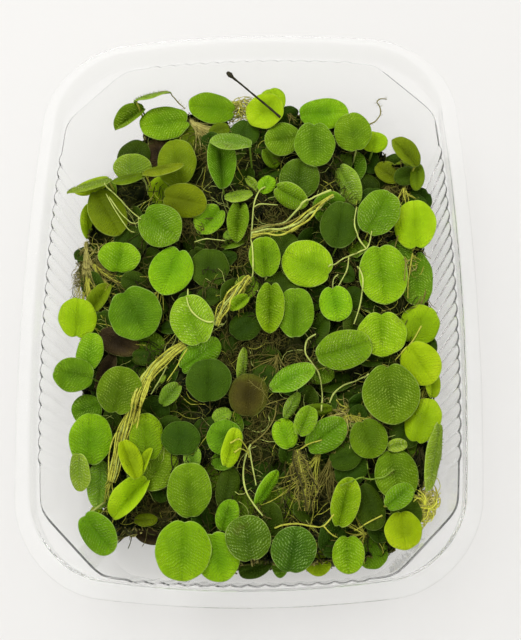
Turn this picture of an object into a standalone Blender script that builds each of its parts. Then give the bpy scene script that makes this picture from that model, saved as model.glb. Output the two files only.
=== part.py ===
"""A clear thermoformed tray filled with a mat of water spangles (floating water fern).

Metres, +Z up. The origin is the middle of the tray's underside. The tray's long side runs along Y.
The plants are a root mat on the tray's floor, root strands that lie on it, and leaves that are let
down one after another until each touches what lies under it.
"""
import math

import bmesh
import bpy
from mathutils import Matrix, Vector
from mathutils.bvhtree import BVHTree

MM = 0.001

# Tray, in millimetres
RIM_WIDTH = 132.0
RIM_LENGTH = 174.8
RIM_BOW_X = 4.9
RIM_BOW_Y = 6.8
RIM_CORNER = 21.8
CORNER_SHRINK = 0.8
SKIRT_Z = 40.8
CREST_Z = 44.0
LEDGE_Z = 35.6
SHEET = 0.5
FLOOR_TOP = 0.6
POCKET_INSET_X = 5.7
POCKET_INSET_Y = 6.4
POCKET_BOW_X = 4.7
POCKET_BOW_Y = 4.9
POCKET_CHAMFER = 22.5
POCKET_ROUNDING = 3.5
CHAMFER_GROWTH = 0.6
DRAFT = 0.082
FOOT_HEIGHT = 2.5
FOOT_INSET = 2.2
FOOT_SHEET = 0.2
FLUTE_DEPTH = 0.7
FLUTE_DEPTH_LOW = 0.4
LONG_FLUTES = 23
LONG_FLUTES_FROM = -48.0
LONG_FLUTES_TO = 50.0
SHORT_FLUTES = 14
SHORT_FLUTES_FROM = -33.0
SHORT_FLUTES_TO = 33.0
RIM_POINTS = 72
HALVINGS = 40
# The rim from the skirt's edge over the crest to the ledge: inset from the outer edge, height
RIM_PROFILE = [(0.0, SKIRT_Z), (2.2, 43.1), (4.0, CREST_Z), (4.8, 43.3), (4.95, LEDGE_Z)]
UNDER_RIM_PROFILE = [(0.3, SKIRT_Z - SHEET), (2.4, 42.6), (4.0, CREST_Z - SHEET), (4.35, 43.0),
                     (4.45, LEDGE_Z - SHEET)]

# Plant mass, in millimetres
PLANT_EDGE_Z = 21.6
PLANT_CROWN = 9.0
CROWN_HALF_X = 58.0
CROWN_HALF_Y = 80.0
MAT_BELOW = 3.0
MAT_CELL = 7.0
MAT_COLUMNS = 17
MAT_ROWS = 23
MAT_BOTTOM = 1.2
BLOCK_BOTTOM = -2.0
OUTLINE_TOP = 40.0
LEAF_THICKNESS = 0.9
GAP = 0.35

# Outline of the root mat on the floor
MAT_OUTLINE = [
    (38, -72), (20, -73.5), (0, -73.5), (-14, -73.5), (-24, -71), (-27, -64), (-33, -63.5), (-38, -63),
    (-43, -66), (-46, -62), (-42, -57), (-47, -54), (-50, -48), (-49, -40), (-50, -32), (-51, -24),
    (-54, -18), (-53, -8), (-54.3, 0), (-52, 8), (-54, 16), (-53, 26), (-51, 38), (-52, 42), (-45, 47),
    (-41, 52), (-42, 58), (-34, 62), (-37, 69), (-32, 72), (-22, 72), (-10, 71), (-6, 64), (-1, 65),
    (2, 72), (9, 73), (14, 70), (26, 70), (35, 65), (42, 60), (44, 53), (50, 52), (53, 46), (53, 38),
    (54, 28), (54, 16), (54.3, 4), (54, -10), (54, -22), (53, -34), (51, -48), (48, -57), (45, -63),
    (42, -67)]

# Dark hollows in the mat between the leaves: x, y, radius, depth
MAT_HOLLOWS = [
    (-50, 30, 5, 7), (-20, 22, 7, 8), (-6, 22, 6, 9), (-9, 36, 5, 6), (5, 31, 8, 5), (14, 27, 5, 8),
    (20, 24, 5, 9), (12, 50, 7, 7), (38, 50, 7, 9), (-20, 47, 5, 7), (-3, 52, 6, 8), (31, 8, 7, 6),
    (20, 2, 5, 5), (-42, -13, 8, 5), (-28, -5, 6, 7), (-25, 4, 5, 7), (-7, -12, 8, 6), (7, -13, 8, 6),
    (26, -23, 8, 9), (-25, -29, 7, 6), (2, -36, 6, 6), (-12, -48, 4, 8), (2, -48, 6, 6),
    (17, -52, 10, 7), (33, -49, 4, 8), (-28, -59, 6, 8), (-8, -30, 5, 7), (33, -67, 5, 6),
    (-46, 10, 6, 5), (44, 42, 6, 5)]

# Root strands that lie on the mat: the points of the middle line, each x, y, radius
ROOT_STRANDS = [
    [(26, 38.3, 0.9), (22, 35.2, 1.5), (18.5, 31.8, 1.8), (14.5, 28.4, 1.7), (10, 26.2, 1.5),
     (5, 25.9, 1.1), (0.5, 25, 0.6)],
    [(0, 10.5, 0.6), (-2.5, 8, 1.2), (-5.5, 4, 1.6), (-8, 0, 1.6), (-10.5, -5, 1.1)],
    [(-19.5, -10.5, 1.1), (-25, -14.5, 1.5), (-30.5, -19.5, 1.5), (-33.7, -25, 1.8), (-35, -31, 2.1),
     (-37, -37, 2.2), (-39.3, -44, 1.9), (-41, -51, 1.1)],
    [(13.6, -42.5, 0.8), (14.8, -48, 1.9), (16.3, -54, 2.3), (16, -60, 1.2)]]

# Leaves from the lowest to the uppermost. x, y: middle of the blade. Length and width of the flat
# blade. Heading: the way the tip points, counted from +X. Pitch lifts the tip, roll lifts the left
# half, fold lifts both halves about the midrib. Last: the tone of the leaf.
LEAVES = [
    (-23.8, 51.0, 16.0, 13.2, 100, 5, -10, 0, "dark"),
    (-20.7, 37.0, 14.0, 11.0, 350, -8, 18, 0, "olive"),
    (-45.5, 34.0, 16.5, 12.0, 300, -10, -15, 0, "olive"),
    (-41.1, 19.5, 10.0, 14.0, 80, 12, 0, 18, "bright"),
    (13.7, -1.6, 15.8, 11.5, 90, 0, 0, 6, "dark"),
    (28.0, 28.0, 16.5, 12.5, 80, -5, 0, 4, "dark"),
    (-9.2, -74.3, 14.0, 12.5, 285, -6, 0, 0, "bright"),
    (-12.3, -21.8, 13.4, 13.4, 90, 4, 0, 4, "dark"),
    (-38.4, -25.0, 14.4, 13.6, 80, 6, 0, 6, "mid"),
    (-54.0, -0.8, 13.0, 12.0, 90, 0, 20, 0, "yellow"),
    (-48.8, -11.8, 12.0, 9.0, 85, 0, -8, 5, "bright"),
    (-53.2, -19.5, 12.0, 11.0, 170, 5, 0, 0, "olive"),
    (-47.1, -39.0, 15.6, 12.8, 90, 0, 6, 0, "mid"),
    (-49.2, -48.7, 11.0, 8.0, 275, -12, 30, 0, "pale"),
    (-43.9, -67.6, 13.5, 10.0, 310, -8, 15, 0, "mid"),
    (-17.5, -54.0, 15.5, 13.5, 95, 4, 0, 8, "mid"),
    (-18.6, -71.0, 16.5, 16.5, 268, -6, 0, 0, "bright"),
    (-0.3, -67.9, 13.0, 12.8, 100, 6, 0, 6, "deep"),
    (12.5, -71.0, 12.8, 13.0, 80, 4, 0, 6, "deep"),
    (43.6, -65.9, 11.0, 10.5, 275, 0, 0, 0, "yellow"),
    (27.3, -57.2, 14.5, 11.0, 75, 6, 6, 40, "bright"),
    (-35.6, -56.5, 15.5, 11.5, 228, -6, 10, 42, "yellow"),
    (34.7, -39.0, 11.8, 11.3, 290, -6, 0, 5, "mid"),
    (50.8, -34.0, 14.0, 10.8, 70, 0, -20, 0, "yellow"),
    (51.0, -16.7, 13.5, 12.0, 300, 0, 15, 0, "yellow"),
    (41.6, -26.0, 18.0, 17.0, 275, -4, 0, 5, "mid"),
    (39.7, -7.3, 13.8, 15.0, 270, -4, 0, 6, "bright"),
    (28.0, -12.9, 17.0, 12.0, 15, 3, 8, 8, "bright"),
    (26.0, 2.0, 11.2, 10.3, 280, -4, 0, 4, "bright"),
    (6.3, 0.5, 15.3, 11.0, 268, -5, 0, 36, "bright"),
    (-17.0, -4.0, 16.0, 13.3, 110, 4, -10, 8, "bright"),
    (-35.5, 0.5, 17.0, 16.5, 300, -4, 0, 4, "mid"),
    (-24.6, 13.8, 15.5, 14.0, 250, -5, 0, 6, "bright"),
    (-28.0, 28.0, 14.5, 13.5, 320, -4, 6, 8, "bright"),
    (17.4, 14.7, 15.5, 15.5, 155, 5, 0, 4, "bright"),
    (4.6, 16.3, 13.0, 10.5, 95, 6, 0, 22, "bright"),
    (51.5, 28.2, 16.5, 13.3, 90, 0, -12, 0, "yellow"),
    (40.8, 12.0, 19.0, 15.5, 275, -5, 0, 10, "bright"),
    (40.0, 31.0, 15.5, 13.0, 60, 6, 0, 10, "bright"),
    (15.5, 44.5, 14.0, 13.0, 80, 4, 0, 5, "deep"),
    (23.5, 69.1, 16.3, 11.7, 0, 4, 0, 0, "bright"),
    (10.2, 60.0, 11.7, 12.0, 190, 4, 0, 5, "mid"),
    (33.0, 61.0, 13.5, 12.0, 100, 4, -6, 0, "mid"),
    (20.5, 55.3, 14.8, 13.2, 270, -6, 0, 6, "mid"),
    (4.5, 69.5, 13.0, 12.0, 225, -6, 0, 0, "yellow"),
    (-13.0, 72.5, 16.0, 11.0, 170, 4, 0, 0, "bright"),
    (-28.5, 66.9, 16.5, 12.5, 190, 6, 0, 4, "bright"),
    (-9.5, 50.0, 17.5, 14.0, 95, 8, 8, 48, "olive"),
    (-5.8, 54.1, 13.5, 10.0, 175, 4, 32, 10, "pale"),
    (12.7, -21.5, 14.5, 9.5, 25, 6, -25, 10, "pale"),
    (22.3, -38.0, 13.5, 10.0, 35, 5, 18, 14, "yellow"),
    (12.9, 37.8, 12.0, 8.5, 330, -4, 48, 10, "bright"),
    (52.8, -45.0, 20.0, 7.0, 258, -4, -48, 0, "mid")]

LEAF_RIM_POINTS = 14
LEAF_INNER_POINTS = 8
LEAF_INNER = 0.55
LEAF_NOTCH = 0.88
NOTCH_TURN = 0.1
LEAF_LOBE = 1.02
LOBE_TURN = 0.5
LEAF_ARCH = 0.5
LEAF_DROOP = 0.5
LEAF_MIDRIB_SAG = 0.2
DROP_FROM = 15.0
DROP_STEP = 0.5
DROP_FINE = 0.1
HIGHEST_REST = 4.6
NUDGE = 0.3
NUDGES = 7

# Dead stalk at the far edge: x, y, height above its lower end, radius
STALK = [(9.6, 66.0, 0.0, 0.5), (5.6, 69.4, 1.2, 0.5), (1.1, 72.2, 4.0, 0.45), (-2.4, 74.0, 7.0, 0.45),
         (-5.0, 75.2, 9.3, 0.55), (-6.0, 75.8, 10.2, 0.85), (-6.9, 76.3, 11.0, 0.5)]

TONES = {
    "bright": (0.19, 0.40, 0.03),
    "mid": (0.12, 0.29, 0.03),
    "dark": (0.06, 0.19, 0.02),
    "deep": (0.06, 0.20, 0.03),
    "yellow": (0.33, 0.48, 0.02),
    "olive": (0.14, 0.20, 0.02),
    "pale": (0.20, 0.38, 0.10)}


def clear_scene():
    for old in list(bpy.context.scene.objects):
        bpy.data.objects.remove(old, do_unlink=True)


def principled(name, colour, roughness, transmission=0.0):
    material = bpy.data.materials.new(name)
    material.use_nodes = True
    shader = material.node_tree.nodes["Principled BSDF"]
    shader.inputs["Base Color"].default_value = (*colour, 1.0)
    shader.inputs["Roughness"].default_value = roughness
    shader.inputs["Metallic"].default_value = 0.0
    shader.inputs["Transmission Weight"].default_value = transmission
    material.diffuse_color = (*colour, 1.0)
    return material


def object_from_bmesh(name, bm, material):
    mesh = bpy.data.meshes.new(name)
    bm.to_mesh(mesh)
    bm.free()
    mesh.materials.append(material)
    obj = bpy.data.objects.new(name, mesh)
    bpy.context.scene.collection.objects.link(obj)
    return obj


# Tray

def rim_point(angle, inset, corner):
    """Where a ray from the middle meets the bowed, round-cornered outline, set in from the rim."""
    half_x = RIM_WIDTH / 2 - inset
    half_y = RIM_LENGTH / 2 - inset
    dx, dy = math.cos(angle), math.sin(angle)

    def outside(reach):
        x, y = abs(reach * dx), abs(reach * dy)
        side_x = half_x - RIM_BOW_X * (y / half_y) ** 2
        side_y = half_y - RIM_BOW_Y * (x / half_x) ** 2
        over_x = x - (side_x - corner)
        over_y = y - (side_y - corner)
        beyond = math.hypot(max(over_x, 0.0), max(over_y, 0.0))
        return beyond + min(max(over_x, over_y), 0.0) - corner

    low, high = 0.0, half_x + half_y
    for _ in range(HALVINGS):
        middle = (low + high) / 2
        if outside(middle) > 0:
            high = middle
        else:
            low = middle
    return low * dx, low * dy


def rim_ring(inset, z):
    corner = RIM_CORNER - CORNER_SHRINK * inset
    ring = []
    for i in range(RIM_POINTS):
        angle = 2 * math.pi * i / RIM_POINTS
        ring.append((*rim_point(angle, inset, corner), z))
    return ring


def flute(position, start, end, count):
    """Outward bulge of the flutes at a place along a side, from 0 to 1."""
    if position <= start or position >= end:
        return 0.0
    turns = (position - start) / (end - start) * count
    return abs(math.sin(math.pi * turns))


def side_stations(start, end, count, corner_end, fluted):
    """Places along one side: its two plain ends and, where it is fluted, each flute's ends and
    middle."""
    reach = corner_end - POCKET_ROUNDING
    if fluted:
        inner = [start + (end - start) * i / (2 * count) for i in range(2 * count + 1)]
    else:
        inner = [-reach / 2, 0.0, reach / 2]
    return [-reach] + inner + [reach]


def pocket_ring(z, extra_inset, flute_depth, fluted):
    """Outline of the pocket at a height: bowed sides with flutes, and chamfered corners."""
    inset = (LEDGE_Z - z) * DRAFT + extra_inset
    half_x = RIM_WIDTH / 2 - POCKET_INSET_X - inset
    half_y = RIM_LENGTH / 2 - POCKET_INSET_Y - inset
    reach = half_x + half_y - POCKET_CHAMFER + CHAMFER_GROWTH * extra_inset

    def side_x(y):
        return half_x - POCKET_BOW_X * (y / half_y) ** 2

    def side_y(x):
        return half_y - POCKET_BOW_Y * (x / half_x) ** 2

    end_y, end_x = half_y, half_x
    for _ in range(HALVINGS):
        end_y = reach - side_x(end_y)
        end_x = reach - side_y(end_x)

    long_side = []
    for y in side_stations(LONG_FLUTES_FROM, LONG_FLUTES_TO, LONG_FLUTES, end_y, fluted):
        bulge = flute_depth * flute(y, LONG_FLUTES_FROM, LONG_FLUTES_TO, LONG_FLUTES)
        long_side.append((side_x(y) + bulge, y))
    short_side = []
    for x in side_stations(SHORT_FLUTES_FROM, SHORT_FLUTES_TO, SHORT_FLUTES, end_x, fluted):
        bulge = flute_depth * flute(x, SHORT_FLUTES_FROM, SHORT_FLUTES_TO, SHORT_FLUTES)
        short_side.append((x, side_y(x) + bulge))

    chamfer_long = Vector((side_x(end_y), end_y))
    chamfer_short = Vector((end_x, side_y(end_x)))
    along = (chamfer_short - chamfer_long).normalized() * POCKET_ROUNDING
    corner = []
    for before, knee, after in ((Vector(long_side[-1]), chamfer_long, chamfer_long + along),
                                (chamfer_short - along, chamfer_short, Vector(short_side[-1]))):
        middle = before * 0.25 + knee * 0.5 + after * 0.25
        corner.append((before, middle, after))
    turn = [corner[0][1], corner[0][2], corner[1][0], corner[1][1]]

    ring = list(long_side)
    ring += [(p.x, p.y) for p in turn]
    ring += [(x, y) for x, y in reversed(short_side)]
    ring += [(-p.x, p.y) for p in reversed(turn)]
    ring += [(-x, y) for x, y in reversed(long_side)]
    ring += [(-p.x, -p.y) for p in turn]
    ring += [(x, -y) for x, y in short_side]
    ring += [(p.x, -p.y) for p in reversed(turn)]
    return [(x, y, z) for x, y in ring]


def stitch(bm, ring_a, ring_b):
    """Triangles between two closed rings that may have different numbers of points."""
    def turn(vert):
        return math.atan2(vert.co.y, vert.co.x) % (2 * math.pi)

    a = sorted(ring_a, key=turn)
    b = sorted(ring_b, key=turn)
    turns_a = [turn(v) for v in a]
    turns_b = [turn(v) for v in b]
    turns_a.append(turns_a[0] + 2 * math.pi)
    turns_b.append(turns_b[0] + 2 * math.pi)
    i = j = 0
    while i < len(a) or j < len(b):
        here_a, here_b = a[i % len(a)], b[j % len(b)]
        step_a = j >= len(b) or (i < len(a) and turns_a[i + 1] <= turns_b[j + 1])
        if step_a:
            bm.faces.new((here_a, a[(i + 1) % len(a)], here_b))
            i += 1
        else:
            bm.faces.new((here_a, b[(j + 1) % len(b)], here_b))
            j += 1


def make_tray():
    """One closed sheet: its upper skin, its lower skin and the skirt's edge between them."""
    upper = [rim_ring(inset, z) for inset, z in RIM_PROFILE]
    upper += [pocket_ring(LEDGE_Z, 0.0, FLUTE_DEPTH, True),
              pocket_ring(FLOOR_TOP + FOOT_HEIGHT, 0.0, FLUTE_DEPTH_LOW, True),
              pocket_ring(FLOOR_TOP, FOOT_INSET, 0.0, False)]
    lower = [rim_ring(inset, z) for inset, z in UNDER_RIM_PROFILE]
    lower += [pocket_ring(LEDGE_Z - SHEET, -SHEET, FLUTE_DEPTH, True),
              pocket_ring(FLOOR_TOP + FOOT_HEIGHT, -SHEET, FLUTE_DEPTH_LOW, True),
              pocket_ring(0.0, FOOT_INSET - FOOT_SHEET, 0.0, False)]
    bm = bmesh.new()
    edges = []
    for skin in (upper, lower):
        rings = [[bm.verts.new(Vector(p) * MM) for p in ring] for ring in skin]
        for outer, inner in zip(rings, rings[1:]):
            stitch(bm, outer, inner)
        bm.faces.new(rings[-1])
        edges.append(rings[0])
    stitch(bm, edges[0], edges[1])
    bmesh.ops.recalc_face_normals(bm, faces=bm.faces)
    bmesh.ops.triangulate(bm, faces=[f for f in bm.faces if len(f.verts) > 3])
    return object_from_bmesh("tray", bm, principled("clear_plastic", (0.93, 0.95, 0.94), 0.08, 0.9))


# Root mat

def plant_top(x, y):
    """Height of the plant mass over the table, in millimetres."""
    crown = (1 - (x / CROWN_HALF_X) ** 2) * (1 - (y / CROWN_HALF_Y) ** 2)
    return PLANT_EDGE_Z + PLANT_CROWN * crown


def mat_top(x, y):
    height = plant_top(x, y) - MAT_BELOW
    for hollow_x, hollow_y, radius, depth in MAT_HOLLOWS:
        near = ((x - hollow_x) ** 2 + (y - hollow_y) ** 2) / radius ** 2
        height -= depth * math.exp(-near)
    return height


def make_root_mat():
    """A lumpy block with the top of the tangle, cut to the outline of the mat."""
    bm = bmesh.new()
    grid = []
    for j in range(MAT_ROWS):
        y = (j - (MAT_ROWS - 1) / 2) * MAT_CELL
        line = []
        for i in range(MAT_COLUMNS):
            x = (i - (MAT_COLUMNS - 1) / 2) * MAT_CELL
            line.append(bm.verts.new(Vector((x, y, mat_top(x, y))) * MM))
        grid.append(line)
    for j in range(MAT_ROWS - 1):
        for i in range(MAT_COLUMNS - 1):
            a, b, c, d = grid[j][i], grid[j][i + 1], grid[j + 1][i + 1], grid[j + 1][i]
            if (i + j) % 2:
                bm.faces.new((a, b, c))
                bm.faces.new((a, c, d))
            else:
                bm.faces.new((a, b, d))
                bm.faces.new((b, c, d))
    border = [e for e in bm.edges if e.is_boundary]
    skirt = bmesh.ops.extrude_edge_only(bm, edges=border)["geom"]
    foot = [v for v in skirt if isinstance(v, bmesh.types.BMVert)]
    for vert in foot:
        vert.co.z = BLOCK_BOTTOM * MM
    bmesh.ops.contextual_create(bm, geom=[e for e in bm.edges if e.is_boundary])
    bmesh.ops.recalc_face_normals(bm, faces=bm.faces)
    mat = object_from_bmesh("root_mat", bm, principled("root_tangle", (0.10, 0.09, 0.02), 0.8))

    bm = bmesh.new()
    base = bm.faces.new([bm.verts.new(Vector((x, y, MAT_BOTTOM)) * MM) for x, y in MAT_OUTLINE])
    lifted = bmesh.ops.extrude_face_region(bm, geom=[base])["geom"]
    for vert in lifted:
        if isinstance(vert, bmesh.types.BMVert):
            vert.co.z = OUTLINE_TOP * MM
    bmesh.ops.recalc_face_normals(bm, faces=bm.faces)
    outline = object_from_bmesh("mat_outline", bm, principled("guide", (0.5, 0.5, 0.5), 0.5))
    outline.hide_render = True
    outline.display_type = "WIRE"
    cut = mat.modifiers.new("outline", "BOOLEAN")
    cut.operation = "INTERSECT"
    cut.object = outline
    cut.solver = "EXACT"
    return mat


# Root strands and the stalk

def smooth_route(points, samples):
    """Points along a smooth curve through the given ones; each point is a tuple of numbers."""
    padded = [points[0]] + list(points) + [points[-1]]
    route = []
    for k in range(len(points) - 1):
        p0, p1, p2, p3 = padded[k:k + 4]
        for step in range(samples):
            t = step / samples
            route.append(tuple(
                0.5 * (2 * b + (c - a) * t + (2 * a - 5 * b + 4 * c - d) * t * t
                       + (3 * b - a - 3 * c + d) * t ** 3)
                for a, b, c, d in zip(p0, p1, p2, p3)))
    route.append(tuple(points[-1]))
    return route


def tube(name, route, material):
    """A round, tapering tube with closed ends; the route holds x, y, z and radius in millimetres."""
    curve = bpy.data.curves.new(name, "CURVE")
    curve.dimensions = "3D"
    curve.bevel_depth = MM
    curve.bevel_resolution = 1
    curve.use_fill_caps = True
    spline = curve.splines.new("POLY")
    spline.points.add(len(route) - 1)
    for point, (x, y, z, radius) in zip(spline.points, route):
        point.co = (x * MM, y * MM, z * MM, 1.0)
        point.radius = radius
    curve.materials.append(material)
    obj = bpy.data.objects.new(name, curve)
    bpy.context.scene.collection.objects.link(obj)
    return obj


def make_root_strands():
    material = principled("root_strand", (0.42, 0.38, 0.08), 0.7)
    strands = []
    for number, points in enumerate(ROOT_STRANDS, 1):
        route = []
        for x, y, radius in smooth_route(points, 3):
            height = plant_top(x, y) - MAT_BELOW + radius + GAP
            route.append((x, y, height, radius))
        strands.append(tube(f"root_strand_{number}", route, material))
    return strands


# Leaves

def blade_outline(angle):
    """Reach of the blade from its middle, from 0 to 1: round, with a notch where the stalk joins."""
    from_base = abs(math.pi - angle)
    if from_base < NOTCH_TURN:
        return LEAF_NOTCH
    if from_base < LOBE_TURN:
        return LEAF_LOBE
    return 1.0


def blade_mesh(length, width, fold, extra):
    """A thin closed blade round the origin, tip towards +X; extra thickens it all round. Each half
    arches from the midrib to the rim, which droops."""
    half_length, half_width = length / 2 + extra, width / 2 + extra
    bm = bmesh.new()

    def vert(reach, angle):
        u = half_length * reach * math.cos(angle)
        v = half_width * reach * math.sin(angle)
        arch = LEAF_ARCH * math.sin(math.pi * min(abs(v) / half_width, 1.0)) - LEAF_DROOP * reach ** 4
        w = abs(v) * math.sin(fold) + arch - LEAF_MIDRIB_SAG * max(0.0, 1 - 2 * abs(v))
        return bm.verts.new(Vector((u, v * math.cos(fold), w)) * MM)

    rim = []
    for k in range(LEAF_RIM_POINTS):
        angle = 2 * math.pi * k / LEAF_RIM_POINTS
        rim.append(vert(blade_outline(angle), angle))
    inner = [vert(LEAF_INNER, 2 * math.pi * k / LEAF_INNER_POINTS) for k in range(LEAF_INNER_POINTS)]
    middle = vert(0.0, 0.0)
    stitch(bm, rim, inner)
    for here, after in zip(inner, inner[1:] + inner[:1]):
        bm.faces.new((here, after, middle))
    bmesh.ops.recalc_face_normals(bm, faces=bm.faces)
    if sum(f.normal.z for f in bm.faces) < 0:
        bmesh.ops.reverse_faces(bm, faces=bm.faces)
    bm.normal_update()

    half = (LEAF_THICKNESS / 2 + extra) * MM
    faces = list(bm.faces)
    border = [e for e in bm.edges if e.is_boundary]
    under = {}
    for v in list(bm.verts):
        normal = v.normal.copy()
        under[v] = bm.verts.new(v.co - normal * half)
        v.co += normal * half
    for f in faces:
        bm.faces.new([under[v] for v in reversed(f.verts)])
    for e in border:
        face = e.link_faces[0]
        a, b = e.verts
        corner = list(face.verts)
        if corner[(corner.index(a) + 1) % 3] is not b:
            a, b = b, a
        bm.faces.new((b, a, under[a]))
        bm.faces.new((b, under[a], under[b]))
    return bm


class Pile:
    """What the leaves come to lie on. Each entry is a tree of triangles with its lowest and highest
    corner."""

    def __init__(self):
        self.entries = []

    def add(self, vertices, triangles):
        tree = BVHTree.FromPolygons(vertices, triangles)
        low = Vector(min(v[k] for v in vertices) for k in range(3))
        high = Vector(max(v[k] for v in vertices) for k in range(3))
        self.entries.append((tree, low, high))

    def add_object(self, obj):
        evaluated = obj.evaluated_get(bpy.context.evaluated_depsgraph_get())
        mesh = evaluated.to_mesh()
        mesh.calc_loop_triangles()
        vertices = [obj.matrix_world @ v.co for v in mesh.vertices]
        self.add(vertices, [tuple(t.vertices) for t in mesh.loop_triangles])
        evaluated.to_mesh_clear()

    def touches(self, vertices, triangles):
        low = [min(v[k] for v in vertices) for k in range(3)]
        high = [max(v[k] for v in vertices) for k in range(3)]
        tree = None
        for other, other_low, other_high in self.entries:
            if any(high[k] < other_low[k] or low[k] > other_high[k] for k in range(3)):
                continue
            if tree is None:
                tree = BVHTree.FromPolygons(vertices, triangles)
            if tree.overlap(other):
                return True
        return False

    def let_down(self, vertices, triangles, place):
        """Lowers a shape from above the pile, straight down, to where it first meets something. A
        shape that hangs on the wall is tried again a little closer to the middle of the tray."""
        def meets(at):
            return self.touches([v + at for v in vertices], triangles)

        inwards = Vector((-place.x, -place.y, 0)).normalized()
        lowest = None
        for trial in range(NUDGES + 1):
            at = place + Vector((0, 0, DROP_FROM * MM)) + inwards * trial * NUDGE * MM
            for step in (DROP_STEP, DROP_FINE):
                down = Vector((0, 0, -step * MM))
                while at.z > 0 and not meets(at + down):
                    at += down
            if lowest is None or at.z < lowest.z - NUDGE * MM:
                lowest = at
            if at.z < place.z + HIGHEST_REST * MM:
                break
        return lowest


def triangles_of(bm):
    bm.verts.index_update()
    return [v.co.copy() for v in bm.verts], [tuple(v.index for v in f.verts) for f in bm.faces]


def make_leaves(pile):
    materials = {tone: principled(f"leaf_{tone}", colour, 0.5) for tone, colour in TONES.items()}
    leaves = []
    for number, row in enumerate(LEAVES, 1):
        x, y, length, width, heading, pitch, roll, fold, tone = row
        turn = (Matrix.Rotation(math.radians(heading), 3, "Z")
                @ Matrix.Rotation(math.radians(-pitch), 3, "Y")
                @ Matrix.Rotation(math.radians(roll), 3, "X"))
        fat = blade_mesh(length, width, math.radians(fold), GAP)
        vertices, triangles = triangles_of(fat)
        fat.free()
        place = Vector((x, y, plant_top(x, y))) * MM
        place = pile.let_down([turn @ v for v in vertices], triangles, place)

        blade = blade_mesh(length, width, math.radians(fold), 0.0)
        vertices, triangles = triangles_of(blade)
        leaf = object_from_bmesh(f"leaf_{number:02d}", blade, materials[tone])
        leaf.location = place
        leaf.rotation_euler = turn.to_euler()
        pile.add([turn @ v + place for v in vertices], triangles)
        leaves.append(leaf)
    return leaves


def make_stalk(pile):
    """A dead stalk with a knob. It leans out over the far leaves, its lower end among them."""
    route = smooth_route(STALK, 3)
    stalk = tube("dead_stalk", route, principled("dead_stalk", (0.03, 0.03, 0.02), 0.6))
    evaluated = stalk.evaluated_get(bpy.context.evaluated_depsgraph_get())
    mesh = evaluated.to_mesh()
    mesh.calc_loop_triangles()
    vertices = [v.co + v.normal * GAP * MM for v in mesh.vertices]
    triangles = [tuple(t.vertices) for t in mesh.loop_triangles]
    evaluated.to_mesh_clear()
    start = Vector((0, 0, plant_top(*STALK[0][:2]) * MM))
    stalk.location = pile.let_down(vertices, triangles, start)
    return stalk


clear_scene()
tray = make_tray()
root_mat = make_root_mat()
strands = make_root_strands()
bpy.context.view_layer.update()
pile = Pile()
for piece in [tray, root_mat] + strands:
    pile.add_object(piece)
make_leaves(pile)
make_stalk(pile)
bpy.context.view_layer.update()
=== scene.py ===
"""The looks of a clear tray filled with a mat of water spangles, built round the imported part."""

import math
import random

import bmesh
import bpy
import numpy as np
from mathutils import Matrix, Vector, noise
from mathutils.bvhtree import BVHTree


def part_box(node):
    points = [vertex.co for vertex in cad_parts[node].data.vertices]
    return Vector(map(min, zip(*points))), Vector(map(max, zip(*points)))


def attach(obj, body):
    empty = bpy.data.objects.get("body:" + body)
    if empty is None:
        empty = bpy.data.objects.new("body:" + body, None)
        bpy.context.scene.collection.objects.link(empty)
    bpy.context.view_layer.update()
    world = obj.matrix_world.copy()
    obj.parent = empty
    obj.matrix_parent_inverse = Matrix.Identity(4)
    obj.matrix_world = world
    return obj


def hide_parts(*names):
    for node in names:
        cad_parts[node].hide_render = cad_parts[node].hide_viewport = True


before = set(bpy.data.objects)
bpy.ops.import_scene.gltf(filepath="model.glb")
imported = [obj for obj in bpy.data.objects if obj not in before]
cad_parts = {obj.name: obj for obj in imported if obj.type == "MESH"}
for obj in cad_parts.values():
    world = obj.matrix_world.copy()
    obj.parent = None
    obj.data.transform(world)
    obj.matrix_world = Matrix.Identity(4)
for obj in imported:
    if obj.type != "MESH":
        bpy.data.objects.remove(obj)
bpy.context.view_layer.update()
MM = 0.001

# Camera
# It looks down into the tray from over the near side, as the photograph was taken, with a lens that
# takes in the whole rim.
CAMERA_PLACE = (0.01666, -0.09729, 0.3136)
CAMERA_RIGHT = (0.99889, -0.00032, -0.04707)
CAMERA_UP = (0.01498, 0.95015, 0.31143)
CAMERA_BACK = (0.04462, -0.31179, 0.94910)
camera_data = bpy.data.cameras.new("camera")
camera_data.sensor_width = 36.0
camera_data.lens = 56.25
camera_data.clip_start = 0.01
camera_data.clip_end = 5.0
camera = bpy.data.objects.new("camera", camera_data)
camera.matrix_world = Matrix.Translation(CAMERA_PLACE) @ Matrix(
    (CAMERA_RIGHT, CAMERA_UP, CAMERA_BACK)).transposed().to_4x4()
bpy.context.scene.collection.objects.link(camera)
bpy.context.scene.camera = camera


# Tray
# One sheet of clear plastic, drawn warm into a mould: a rolled rim with a crest, a step that a lid
# would seat on, fluted walls that lean in, cut-off corners and a flat floor.
RIM_HALF = (66.0, 87.4)
RIM_BOW = (4.9, 6.8)
RIM_CORNER = 21.8
SHEET = 0.5
LEDGE_Z = 35.6
FLOOR_Z = 0.55
POCKET_INSET = (5.7, 6.4)
POCKET_BOW = (4.7, 4.9)
POCKET_CHAMFER = 22.5
POCKET_SOFTNESS = 0.9
DRAFT = 0.082
FLUTE_TOP, FLUTE_FOOT = 0.7, 0.4
FLUTE_START_Z, FLUTE_FADE = 0.7, 3.0
FLUTE_CREASE = 0.3
LONG_FLUTES = (-48.0, 50.0, 23)
SHORT_FLUTES = (-33.0, 33.0, 14)
TRAY_STATIONS = 1100
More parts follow.
